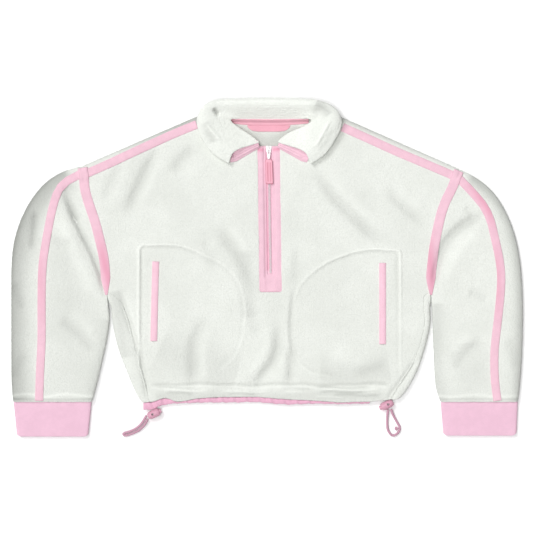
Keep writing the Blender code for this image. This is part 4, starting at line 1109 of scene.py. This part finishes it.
def sides_from_top(node_name, rows):
    """The two long sides of a strip's node, both from its upper end."""
    left, right = ribbon_sides(node_name, rows)
    if left[0, 1] < left[-1, 1]:
        left, right = left[::-1], right[::-1]
    return left, right


def between(left, right, across):
    """Plan points between two sides, at shares of the way across."""
    return left[:, None] * (1 - across)[None, :, None] + right[:, None] * across[None, :, None]


def units(way):
    """Vectors with their length taken out."""
    return way / np.linalg.norm(way, axis=1)[:, None]


def ribbon_net(left, right, columns, heights, thickness, painted_highlight_lift=0.0):
    """Points and faces of a closed strip: a fine upper side and a plain lower one."""
    rows = len(left)
    plan = between(left, right, np.linspace(0, 1, columns))
    upper = np.concatenate([plan, (heights + painted_highlight_lift)[:, :, None]], axis=2)
    picks = [0, columns // 2, columns - 1]
    lower = upper[:, picks].copy()
    lower[:, :, 2] -= thickness
    lower[:, 0, 2] = upper[:, 0, 2] - 0.4 * thickness
    lower[:, 2, 2] = upper[:, -1, 2] - 0.4 * thickness
    ring = np.concatenate([upper, lower[:, ::-1]], axis=1)
    faces = tube_faces(rows, ring.shape[1], inward=True)
    ahead = left[-1] - left[0]
    over = right[rows // 2] - left[rows // 2]
    if ahead[0] * over[1] - ahead[1] * over[0] < 0:
        faces = [face[::-1] for face in faces]
    return ring.reshape(-1, 3), faces, upper


def tape_profile(across, width, margin):
    """Rise over a tape's width: turned-down edges, and grooves where it is sewn."""
    from_edge = np.minimum(across, 1 - across) * width
    edge = 1 - np.clip(1 - from_edge / 0.9, 0, 1) ** 2
    groove = bell(from_edge - margin, 0.8)
    swell = np.sin(np.pi * across) ** 0.6
    return edge, groove, swell


# Lines that are sewn, gathered while the tapes and the zip facing are made
STITCHES = []


def longer(side, start, end):
    """A tape's side carried on in its own direction past both ends."""
    first = side[0] + (side[0] - side[1]) / np.linalg.norm(side[0] - side[1]) * start
    last = side[-1] + (side[-1] - side[-2]) / np.linalg.norm(side[-1] - side[-2]) * end
    return np.vstack([first, side, last])


def tape(node_name, grounds, past=(0.0, 0.0), seed=0.0, look_name="pink_tape", swell=0.25,
         sewn=True, upper_more=0.0, stands=0.0):
    """A tape draped on what lies below it, with soft puckers along its stitches.

    past is how far it runs on beyond the upper and the lower end of its node. upper_more widens
    it towards the collar, and stands is how far that edge stands up.
    """
    trim = bpy.context.scene.pullover_trim
    thickness = trim.thickness / MM
    margin = trim.margin / MM
    left, right = sides_from_top(node_name, 24)
    far_side = left if left[:, 1].mean() > right[:, 1].mean() else right
    far_side[:, 1] += upper_more
    left = longer(left, *past)
    right = longer(right, *past)
    size = max(lengths(left)[-1], lengths(right)[-1])
    rows = int(size / TAPE_ROW) + 2
    left = evenly(left, rows)
    right = evenly(right, rows)
    widths = np.linalg.norm(left - right, axis=1)
    columns = int(max(widths) / TAPE_COLUMN) + 3
    across = np.linspace(0, 1, columns)
    plan = between(left, right, across)
    heights = ground_heights(plan.reshape(-1, 2), grounds).reshape(rows, columns)
    heights = merged(merged(filled(heights), 2, 2, highest), 6, 4, eased)
    along = np.linspace(0, size, rows)[:, None]
    edge, groove, crown = tape_profile(across[None, :], widths[:, None], margin)
    pucker = 0.22 * np.sin(along / 3.1 + seed) * np.sin(along / 7.3 + 2 * seed + 3 * across)
    rise = thickness * edge - 0.35 * groove + swell * crown + pucker * edge
    to_far = across if plan[:, -1, 1].mean() > plan[:, 0, 1].mean() else 1 - across
    rise = rise + stands * ease((to_far - 0.35) / 0.6)[None, :]
    points, faces, upper = ribbon_net(left, right, columns, heights + rise, thickness, 0.3)
    piece = piece_of(f"{node_name}_cloth", points, faces, look(look_name))
    mark_tones(piece.data, tape_tones)
    GROUND[node_name] = form_of(piece)
    seat(piece, node_name)
    if sewn:
        for share in (margin / np.maximum(widths, 1), 1 - margin / np.maximum(widths, 1)):
            STITCHES.append(row_on(upper, share))
    return piece, size, widths.mean()


def merged(heights, along, across, merge):
    """A net of heights, each merged with its neighbours, in rounds along and then across."""
    for rounds in (along, across):
        for _ in range(rounds):
            padded = np.pad(heights, ((1, 1), (0, 0)), "edge")
            heights = merge(padded[:-2], padded[1:-1], padded[2:])
        heights = heights.T
    return heights


def highest(before, here, after):
    """The highest of three neighbours."""
    return np.maximum(np.maximum(before, here), after)


def eased(before, here, after):
    """The mean of three neighbours, the middle one counted twice."""
    return (before + 2 * here + after) / 4


def row_on(upper, share):
    """A line along a net of points, at a share of its width in each row."""
    columns = upper.shape[1]
    spot = np.clip(share, 0, 1) * (columns - 1)
    low = np.clip(spot.astype(int), 0, columns - 2)
    part = (spot - low)[:, None]
    rows = np.arange(len(upper))
    return upper[rows, low] * (1 - part) + upper[rows, low + 1] * part


def stitch_rows(name, lines, length, thread):
    """Rows of stitches along lines, each a short pointed bar sunk at its ends."""
    points = []
    faces = []
    ring = [(math.cos(a), math.sin(a)) for a in (0.0, math.pi / 2, math.pi, 1.5 * math.pi)]
    for line in lines:
        count = int(lengths(line)[-1] / length)
        if count < 1:
            continue
        knots = evenly(line, count + 1)
        for a, b in zip(knots[:-1], knots[1:]):
            way = b - a
            far = np.linalg.norm(way)
            way = way / far
            side = np.cross(way, (0, 0, 1))
            side = side / max(np.linalg.norm(side), 1e-6)
            up = np.cross(side, way)
            first = len(points)
            points.append(a + way * 0.08 * far - up * thread * 0.5)
            for share in (0.22, 0.72):
                centre = a + way * share * far + up * thread * 0.15
                for c, s in ring:
                    points.append(centre + (side * c + up * s) * thread * 0.5 * 0.8)
            points.append(a + way * 0.88 * far - up * thread * 0.5)
            for k in range(4):
                n = (k + 1) % 4
                faces.append((first, first + 1 + n, first + 1 + k))
                faces.append((first + 1 + k, first + 1 + n, first + 5 + n, first + 5 + k))
                faces.append((first + 9, first + 5 + k, first + 5 + n))
    seat(piece_of(name, points, faces, look("pink_thread")))


# ---------------------------------------------------------------- operators


class PULLOVER_OT_camera(bpy.types.Operator):
    """Camera straight above the pullover"""

    bl_idname = "pullover.camera"
    bl_label = "Camera"

    def execute(self, context):
        stage = context.scene.pullover_stage
        data = bpy.data.cameras.new("camera")
        data.lens = stage.lens
        data.sensor_width = 36.0
        camera = link("camera", data)
        camera.location = (*VIEW_CENTRE, stage.view_width * stage.lens / data.sensor_width)
        camera.rotation_euler = (0.0, 0.0, 0.0)
        data.clip_end = 100.0
        context.scene.camera = camera
        return {"FINISHED"}


def cord_tube(name, route):
    """A braided cord along its route."""
    settings = bpy.context.scene.pullover_cord
    radius = settings.diameter / MM / 2
    path = smooth_path(route, int(lengths(np.array(route))[-1] / 0.55))
    along = lengths(path)
    ahead = units(np.gradient(path, axis=0))
    side = units(np.cross(ahead, (0, 0, 1.0)))
    up = np.cross(side, ahead)
    turns = np.linspace(0, 2 * math.pi, settings.sides, endpoint=False)
    pitch = settings.braid / MM
    points = []
    for centre, s, u, where in zip(path, side, up, along):
        twist = 2 * math.pi * where / pitch
        plait = np.maximum(np.cos(3 * turns + 3 * twist), np.cos(3 * turns - 3 * twist))
        reach = radius * (0.95 + 0.06 * plait)
        ring = np.outer(np.cos(turns) * reach, s) + np.outer(np.sin(turns) * reach, u)
        points.append(centre + ring)
    faces = tube_faces(len(path), settings.sides)
    return piece_of(name, np.concatenate(points), faces, look("cord")), path


class PULLOVER_OT_cords(bpy.types.Operator):
    """Both drawcord loops and the knot of the left one"""

    bl_idname = "pullover.cords"
    bl_label = "Drawcords"

    def execute(self, context):
        for key, route in (("r", CORD_R_ROUTE), ("l", CORD_L_ROUTE)):
            piece, path = cord_tube(f"drawcord_{key}_braid", route)
            seat(piece, f"drawcord_{key}")
        knot = self.knot()
        return {"FINISHED"}

    def knot(self):
        """Three loops of cord, tied in a ring."""
        low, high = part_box("cord_knot_l")
        centre = np.array((low + high) / 2) / MM
        turns = np.linspace(0, 2 * math.pi, 40)
        path = []
        for t in turns:
            ring = 1.5 + 0.55 * math.cos(3 * t)
            path.append((ring * math.cos(2 * t), ring * math.sin(2 * t), 0.75 * math.sin(3 * t)))
        curve = bpy.data.curves.new("cord_knot_tie", "CURVE")
        curve.dimensions = "3D"
        curve.bevel_depth = 1.3 * MM
        curve.bevel_resolution = 3
        spline = curve.splines.new("POLY")
        spline.use_cyclic_u = True
        spline.points.add(len(path) - 2)
        for point, spot in zip(spline.points, path):
            point.co = (*((centre + np.array(spot)) * MM), 1.0)
        draft = link("draft", curve)
        graph = bpy.context.evaluated_depsgraph_get()
        mesh = bpy.data.meshes.new_from_object(draft.evaluated_get(graph))
        bpy.data.objects.remove(draft)
        mesh.shade_smooth()
        recoated(mesh, "cord")
        piece = link("cord_knot_tie", mesh)
        seat(piece, "cord_knot_l")
        return piece


class PULLOVER_OT_front(bpy.types.Operator):
    """Front panel with its folds, pocket bag lines and drawcord channel"""

    bl_idname = "pullover.front"
    bl_label = "Front"

    def execute(self, context):
        piece = fleece_piece("front_body", front_folds, front_tones, 1.0, front_hidden)
        return {"FINISHED"}


class PULLOVER_OT_back(bpy.types.Operator):
    """Back panel, wrapped forward over the sides and shoulders"""

    bl_idname = "pullover.back"
    bl_label = "Back"

    def execute(self, context):
        piece = fleece_piece("back_body", back_folds, back_tones, 2.0, back_hidden, rounds=20)
        return {"FINISHED"}


class PULLOVER_OT_sleeves(bpy.types.Operator):
    """Both sleeves"""

    bl_idname = "pullover.sleeves"
    bl_label = "Sleeves"

    def execute(self, context):
        for number, key in enumerate("rl"):
            piece = fleece_piece(
                f"sleeve_{key}", sleeve_folds, sleeve_tones, 3.0 + number, sleeve_hidden, rounds=24,
            )
        return {"FINISHED"}


class PULLOVER_OT_collar(bpy.types.Operator):
    """Collar band, sherpa on both faces"""

    bl_idname = "pullover.collar"
    bl_label = "Collar"

    def execute(self, context):
        piece = fleece_piece(
            "collar", collar_folds, collar_tones, 5.0, height=1.4, rounds=6,
            look_name="sherpa_collar", moved=collar_moved,
        )
        return {"FINISHED"}


def round_corners(points, radius):
    """Rounds a cuff's two lower corners in plan."""
    x, y = points[:, 0].copy(), points[:, 1].copy()
    bottom = y.min()
    height = y.max() - bottom
    lower = y < bottom + 0.25 * height
    upper = y > bottom + 0.75 * height
    for side, extreme in ((-1, np.min), (1, np.max)):
        at_low = extreme(x[lower])
        at_high = extreme(x[upper])
        edge = at_low + (at_high - at_low) * (y - bottom) / height
        u = radius - np.abs(edge - x)
        v = radius - (y - bottom)
        far = np.hypot(u, v)
        cut = (u > 0) & (v > 0) & (far > radius)
        part = radius / np.maximum(far, 1e-6)
        points[cut, 0] = (edge - side * radius + side * u * part)[cut]
        points[cut, 1] = (bottom + radius - v * part)[cut]


class PULLOVER_OT_cuffs(bpy.types.Operator):
    """Both cuffs"""

    bl_idname = "pullover.cuffs"
    bl_label = "Cuffs"

    def execute(self, context):
        for key in "rl":
            self.cuff(key)
        return {"FINISHED"}

    def cuff(self, key):
        name = f"cuff_{key}"
        piece = even_net(f"{name}_cloth", name, CUFF_NET, CUFF_FINER)
        points, normals, edges = read_net(piece.data)
        face_up = ease((normals[:, 2] - 0.5) / 0.3)
        relax_points(points, edges, 6)
        round_corners(points, CUFF_CORNER)
        top = points[:, 1].max()
        from_seam = top - points[:, 1]
        points[:, 1] += 3.0 * np.clip(1 - from_seam / 6.0, 0, 1)
        points[:, 2] += 0.9 * bell(from_seam, 4.0) * face_up
        x = points[:, 0]
        gathers = np.sin(x / 4.3) + 0.6 * np.sin(x / 2.6 + 1.3)
        points[:, 2] += CUFF_GATHER * gathers * bell(from_seam, 7.0) * face_up
        end = points[:, 1] - points[:, 1].min()
        points[:, 2] -= 0.25 * bell(end - 3.0, 1.3) * face_up
        points[:, 2] = np.maximum(points[:, 2], 0.0)
        dressed(piece, points, "pink_cuff", name)


class PULLOVER_OT_tapes(bpy.types.Operator):
    """Pink tapes on the shoulders, armholes and sleeves, and the pocket welts"""

    bl_idname = "pullover.tapes"
    bl_label = "Tapes and welts"

    def execute(self, context):
        body = ("front_body", "back_body")
        for number, key in enumerate("rl"):
            sleeve = f"sleeve_{key}"
            others = (f"sleeve_tape_{key}", f"shoulder_tape_{key}")
            for kind, grounds in (
                ("sleeve_tape", (*body, sleeve)),
                ("shoulder_tape", (*body, sleeve)),
                ("armhole_tape", (*body, sleeve, *others)),
                ("welt", ("front_body",)),
            ):
                name = f"{kind}_{key}"
                swell, cloth = (0.9, "pink_welt") if kind == "welt" else (0.25, "pink_tape")
                piece, size, width = tape(
                    name, grounds, TAPE_ENDS[kind], number * 1.7 + len(kind), cloth, swell
                )
        return {"FINISHED"}


class PULLOVER_OT_neck(bpy.types.Operator):
    """Tape and half-moon patch inside the back neck, and the facings of the collar's ends"""

    bl_idname = "pullover.neck"
    bl_label = "Neck"

    def execute(self, context):
        piece, size, width = tape(
            "neck_tape", ("back_body",), (9.0, 9.0), look_name="pink_neck", sewn=False,
            upper_more=4.4, stands=7.0,
        )
        for key in "rl":
            self.facing(f"collar_facing_{key}")
        self.patch()
        return {"FINISHED"}

    def facing(self, name):
        """The pink edge of the zip that runs on up the collar's front end."""
        left, right = ribbon_sides(name, 40)
        if left[:, 1].mean() < right[:, 1].mean():
            left, right = right[::-1], left[::-1]
        left, right = run_on(left), run_on(right)
        left = left + units(left - right) * UNDER_COLLAR
        columns = 21
        across = np.linspace(0, 1, columns)
        low, high = box_of(name)
        GROUND[name] = form_of_node(name)
        plan = between(left, right, across)
        spots = plan.reshape(-1, 2)
        heights = ground_heights(spots, (name,)).reshape(plan.shape[:2])
        ground = ground_heights(spots, ("front_body",)).reshape(plan.shape[:2])
        heights = merged(np.fmax(filled(heights), ground + 1.0), 6, 1, eased)
        ribs = FACING_RIB * np.cos(across * 2 * math.pi * FACING_RIBS)[None, :]
        edge = -1.0 * np.clip(1 - (1 - across) / 0.1, 0, 1)[None, :] ** 2
        tuck = 2.4 * ease(1 - across / 0.45)[None, :]
        points, faces, upper = ribbon_net(
            left, right, columns, heights + ribs + edge + tuck, high[2] - low[2] - 2.0
        )
        piece = piece_of(f"{name}_cloth", points, faces, look("pink_tape"))
        seat(piece, name)

    def patch(self):
        """The half-moon patch, with a turned edge."""
        piece = even_net("neck_patch_cloth", "neck_patch", PATCH_NET)
        points = read_points(piece.data)
        middle = points.mean(axis=0)
        points[:, 0] = middle[0] + (points[:, 0] - middle[0]) * PATCH_WIDER
        points[:, 1] = points[:, 1].min() + (points[:, 1] - points[:, 1].min()) * PATCH_LONGER
        # Painted shade over the whole patch
        write_tones(piece.data, np.full(len(points), PATCH_PAINTED_SHADE))
        dressed(piece, points, "pink_neck", "neck_patch")


def run_on(side):
    """A side of a facing whose outer end runs on towards the collar's point."""
    way = np.array([math.copysign(1.0, side[:, 0].mean()), FACING_SLOPE])
    more = np.linspace(0, FACING_LONGER, 9)[1:, None] * way
    if abs(side[0, 0]) > abs(side[-1, 0]):
        return np.vstack([side[0] + more[::-1], side])
    return np.vstack([side, side[-1] + more])


def form_of_node(name):
    """A CAD node's form as a target for rays, in millimetres."""
    form = bmesh.new()
    form.from_mesh(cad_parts[name].data)
    bmesh.ops.scale(form, verts=form.verts, vec=(1 / MM, 1 / MM, 1 / MM))
    tree = BVHTree.FromBMesh(form)
    form.free()
    return tree


class PULLOVER_OT_hem(bpy.types.Operator):
    """Pink casing that shows below the front's hem"""

    bl_idname = "pullover.hem"
    bl_label = "Hem casing"

    def execute(self, context):
        piece = even_net("hem_casing_cloth", "hem_casing", CASING_NET)
        points, normals, edges = read_net(piece.data)
        relax_points(points, edges, 6)
        x, y, z = points.T
        up = ease(normals[:, 2] / 0.5)
        pleat = 0.7 * np.sin(x / 3.4 + 0.6 * np.sin(x / 11.0)) + 0.45 * np.sin(x / 1.7 + y / 3)
        points[:, 2] += up * pleat
        points[:, 1] += 0.5 * pleat * (z < 9.0)
        dressed(piece, points, "pink_casing", "hem_casing")
        return {"FINISHED"}


class PULLOVER_OT_zip(bpy.types.Operator):
    """Zip facing, zip tapes, teeth, slider, link and puller"""

    bl_idname = "pullover.zip"
    bl_label = "Zip"

    def execute(self, context):
        self.facing()
        self.teeth(context)
        for name in ("zip_slider", "zip_link"):
            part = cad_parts[name]
            recoated(part.data, "white_metal")
            edge = part.modifiers.new("edge", "BEVEL")
            edge.width = 0.0002
            edge.segments = 2
        self.puller()
        return {"FINISHED"}

    def facing(self):
        """The pink panel under the zip: a groove for its teeth between two raised sides."""
        left, right = sides_from_top("zip_facing", 160)
        out = units(left - right)
        left = left + out * FACING_MORE
        right = right - out * FACING_MORE
        width = np.linalg.norm(left - right, axis=1).mean()
        columns = 53
        across = np.linspace(0, 1, columns)
        low, high = box_of("zip_facing")
        dx = (across - 0.5) * width
        rows = len(left)
        y = (left[:, 1] + right[:, 1])[:, None] / 2
        chain_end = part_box("zip_chain")[0].y / MM
        from_edge = width / 2 - np.abs(dx)
        height = high[2] + FACING_RAISED * ease((np.abs(dx) - 6.5) / 6.0)
        height = np.tile(height, (rows, 1))
        below_chain = ease((chain_end - 3.0 - y) / 8.0)
        height += FACING_RAISED * below_chain * ease((13.0 - np.abs(dx)) / 6.0)
        height -= 1.2 * np.clip(1 - from_edge / 1.2, 0, 1) ** 2
        height -= 1.2 * np.clip(1 - (y - low[1]) / 1.4, 0, 1) ** 2
        height -= 0.4 * bell(from_edge - OUTER_STITCH, 0.8)
        height -= 0.5 * bell(np.abs(dx) - INNER_STITCH, 0.8) * (y > chain_end - 6)
        groove = ease(GROOVE_HALF - np.abs(dx))[None, :] * ease((y - chain_end + 1.5) / 1.5)
        height = height - groove * (high[2] - GROOVE_FLOOR)
        height += 0.2 * np.sin(y / 6.0 + dx / 5.0) * np.sin(y / 17.0) * (1 - groove)
        points, faces, upper = ribbon_net(left, right, columns, height, high[2] - low[2] - 1.6)
        piece = piece_of("zip_facing_cloth", points, faces, look("pink_tape"))
        mark_tones(piece.data, facing_tones)
        seat(piece, "zip_facing")
        outer = OUTER_STITCH / width
        inner = INNER_STITCH / width
        for share in (outer, 1 - outer, 0.5 - inner, 0.5 + inner):
            STITCHES.append(row_on(upper, np.full(rows, share)))

    def teeth(self, context):
        """Two rows of interlocking teeth, each a small rounded block."""
        settings = context.scene.pullover_zip
        low, high = box_of("zip_chain")
        left, right = sides_from_top("zip_facing", 2)
        top, bottom = (left + right) / 2
        lean = (bottom[0] - top[0]) / (bottom[1] - top[1])
        pitch = settings.pitch / MM
        reach = settings.tooth / MM
        block = bmesh.new()
        bmesh.ops.create_cube(block, size=1.0)
        for vert in block.verts:
            vert.co.x *= reach
            vert.co.y *= pitch * TOOTH_HEAD if vert.co.x > 0 else pitch * TOOTH_ROOT
            vert.co.z *= TEETH_THICK
        bmesh.ops.bevel(
            block, geom=list(block.edges), offset=0.28, segments=2, affect="EDGES", profile=0.6
        )
        block.verts.ensure_lookup_table()
        shape = np.array([vert.co for vert in block.verts])
        tooth_faces = [[vert.index for vert in face.verts] for face in block.faces]
        block.free()
        points = []
        faces = []
        count = int((high[1] - low[1] - 1.0) / pitch * 2)
        for number in range(count):
            side = 1 if number % 2 else -1
            y = high[1] - 0.8 - number * pitch / 2
            x = top[0] + lean * (y - top[1]) + side * reach * TOOTH_BESIDE
            first = len(points)
            for spot in shape:
                points.append((x - side * spot[0], y + spot[1], TEETH_Z + spot[2]))
            for face in tooth_faces:
                order = face if side < 0 else face[::-1]
                faces.append([first + i for i in order])
        piece = piece_of("zip_teeth", points, faces, look("zip_teeth"))
        seat(piece, "zip_chain")

    def puller(self):
        """Moulded tab with grooves along it."""
        low, high = box_of("zip_puller")
        length = high[1] - low[1]
        middle = (low + high) / 2
        rows = 46
        sides = 48
        turns = np.linspace(0, 2 * math.pi, sides, endpoint=False)
        c = np.cos(turns)
        s = np.sin(turns)
        points = []
        tones = []
        for share in np.arange(rows) / (rows - 1):
            half = np.interp(share, *PULLER_HALF)
            thick = np.interp(share, *PULLER_THICK)
            x = np.sign(c) * np.abs(c) ** 0.5 * half
            z = np.sign(s) * np.abs(s) ** 0.5 * thick
            inner = ease((share - 0.1) / 0.05) * ease((0.93 - share) / 0.04)
            groove = bell(np.abs(x) - PULLER_GROOVE, 0.8)
            z = z - np.sign(s) * 0.7 * inner * groove * (np.abs(s) > 0.5)
            # Painted shade in the grooves and along the tab's edges and lower end
            rim = bell(half - np.abs(x), 0.9) + bell(1 - share, 0.03)
            tones.append(-np.clip(0.8 * inner * groove + 0.7 * rim, 0, 1))
            x = middle[0] + PULLER_LEAN * (share - 0.5) * length + x
            y = np.full(sides, high[1] - share * length)
            points.append(np.column_stack([x, y, middle[2] + z]))
        faces = tube_faces(rows, sides)
        piece = piece_of("zip_puller_tab", np.concatenate(points), faces, look("pink_plastic"))
        write_tones(piece.data, np.concatenate(tones))
        seat(piece, "zip_puller", "zip_pull")


class PULLOVER_OT_locks(bpy.types.Operator):
    """Cord locks and their buttons"""

    bl_idname = "pullover.locks"
    bl_label = "Cord locks"

    def execute(self, context):
        for key in "rl":
            for name in (f"cord_lock_{key}", f"lock_button_{key}"):
                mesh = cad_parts[name].data
                recoated(mesh, "pink_lock")
                mesh.shade_smooth()
        return {"FINISHED"}


class PULLOVER_OT_stitching(bpy.types.Operator):
    """Rows of stitches on the tapes, welts and zip facing"""

    bl_idname = "pullover.stitching"
    bl_label = "Stitching"

    def execute(self, context):
        trim = context.scene.pullover_trim
        stitch_rows("trim_stitches", STITCHES, trim.stitch / MM, trim.thread / MM)
        return {"FINISHED"}


class PULLOVER_OT_stage(bpy.types.Operator):
    """Floor and soft light"""

    bl_idname = "pullover.stage"
    bl_label = "Floor and light"

    def execute(self, context):
        stage = context.scene.pullover_stage
        corners = ((-1, -1), (1, -1), (1, 1), (-1, 1))
        points = [(x * FLOOR_HALF, y * FLOOR_HALF, -FLOOR_DROP) for x, y in corners]
        finish = plain_look("floor", stage.floor_colour, 0.9)
        piece_of("floor", points, [(0, 1, 2, 3)], finish)
        world = bpy.data.worlds.new("even_light")
        world.use_nodes = True
        background = world.node_tree.nodes["Background"]
        background.inputs["Color"].default_value = (1.0, 1.0, 1.0, 1.0)
        background.inputs["Strength"].default_value = stage.sky
        context.scene.world = world
        for name, (way, angle) in LIGHTS.items():
            data = bpy.data.lights.new(f"{name}_light", "SUN")
            data.angle = math.radians(angle)
            way = Vector(way).normalized()
            data.energy = getattr(stage, name) * math.pi / way.z
            lamp = link(data.name, data)
            lamp.location = way
            lamp.rotation_euler = way.to_track_quat("Z", "Y").to_euler()
        context.scene.view_settings.view_transform = "Standard"
        return {"FINISHED"}


class PULLOVER_PT_panel(bpy.types.Panel):
    """Sizes, colours and steps of the pullover"""

    bl_label = "Pullover"
    bl_idname = "PULLOVER_PT_panel"
    bl_space_type = "VIEW_3D"
    bl_region_type = "UI"
    bl_category = "Pullover"

    def draw(self, context):
        for key, group in SETTINGS.items():
            box = self.layout.box()
            box.label(text=group.__doc__)
            for name in group.__annotations__:
                box.prop(getattr(context.scene, key), name)
        for operator in OPERATORS:
            self.layout.operator(operator.bl_idname)


OPERATORS = (
    PULLOVER_OT_camera,
    PULLOVER_OT_cords,
    PULLOVER_OT_front,
    PULLOVER_OT_back,
    PULLOVER_OT_sleeves,
    PULLOVER_OT_collar,
    PULLOVER_OT_cuffs,
    PULLOVER_OT_tapes,
    PULLOVER_OT_neck,
    PULLOVER_OT_hem,
    PULLOVER_OT_zip,
    PULLOVER_OT_locks,
    PULLOVER_OT_stitching,
    PULLOVER_OT_stage,
)


def register():
    for group in SETTINGS.values():
        bpy.utils.register_class(group)
    for key, group in SETTINGS.items():
        setattr(bpy.types.Scene, key, PointerProperty(type=group))
    for operator in OPERATORS:
        bpy.utils.register_class(operator)
    bpy.utils.register_class(PULLOVER_PT_panel)


def unregister():
    bpy.utils.unregister_class(PULLOVER_PT_panel)
    for operator in reversed(OPERATORS):
        bpy.utils.unregister_class(operator)
    for key, group in reversed(SETTINGS.items()):
        delattr(bpy.types.Scene, key)
        bpy.utils.unregister_class(group)


def main():
    register()
    for operator in OPERATORS:
        group, step = operator.bl_idname.split(".")
        getattr(getattr(bpy.ops, group), step)()


if __name__ == "__main__":
    main()
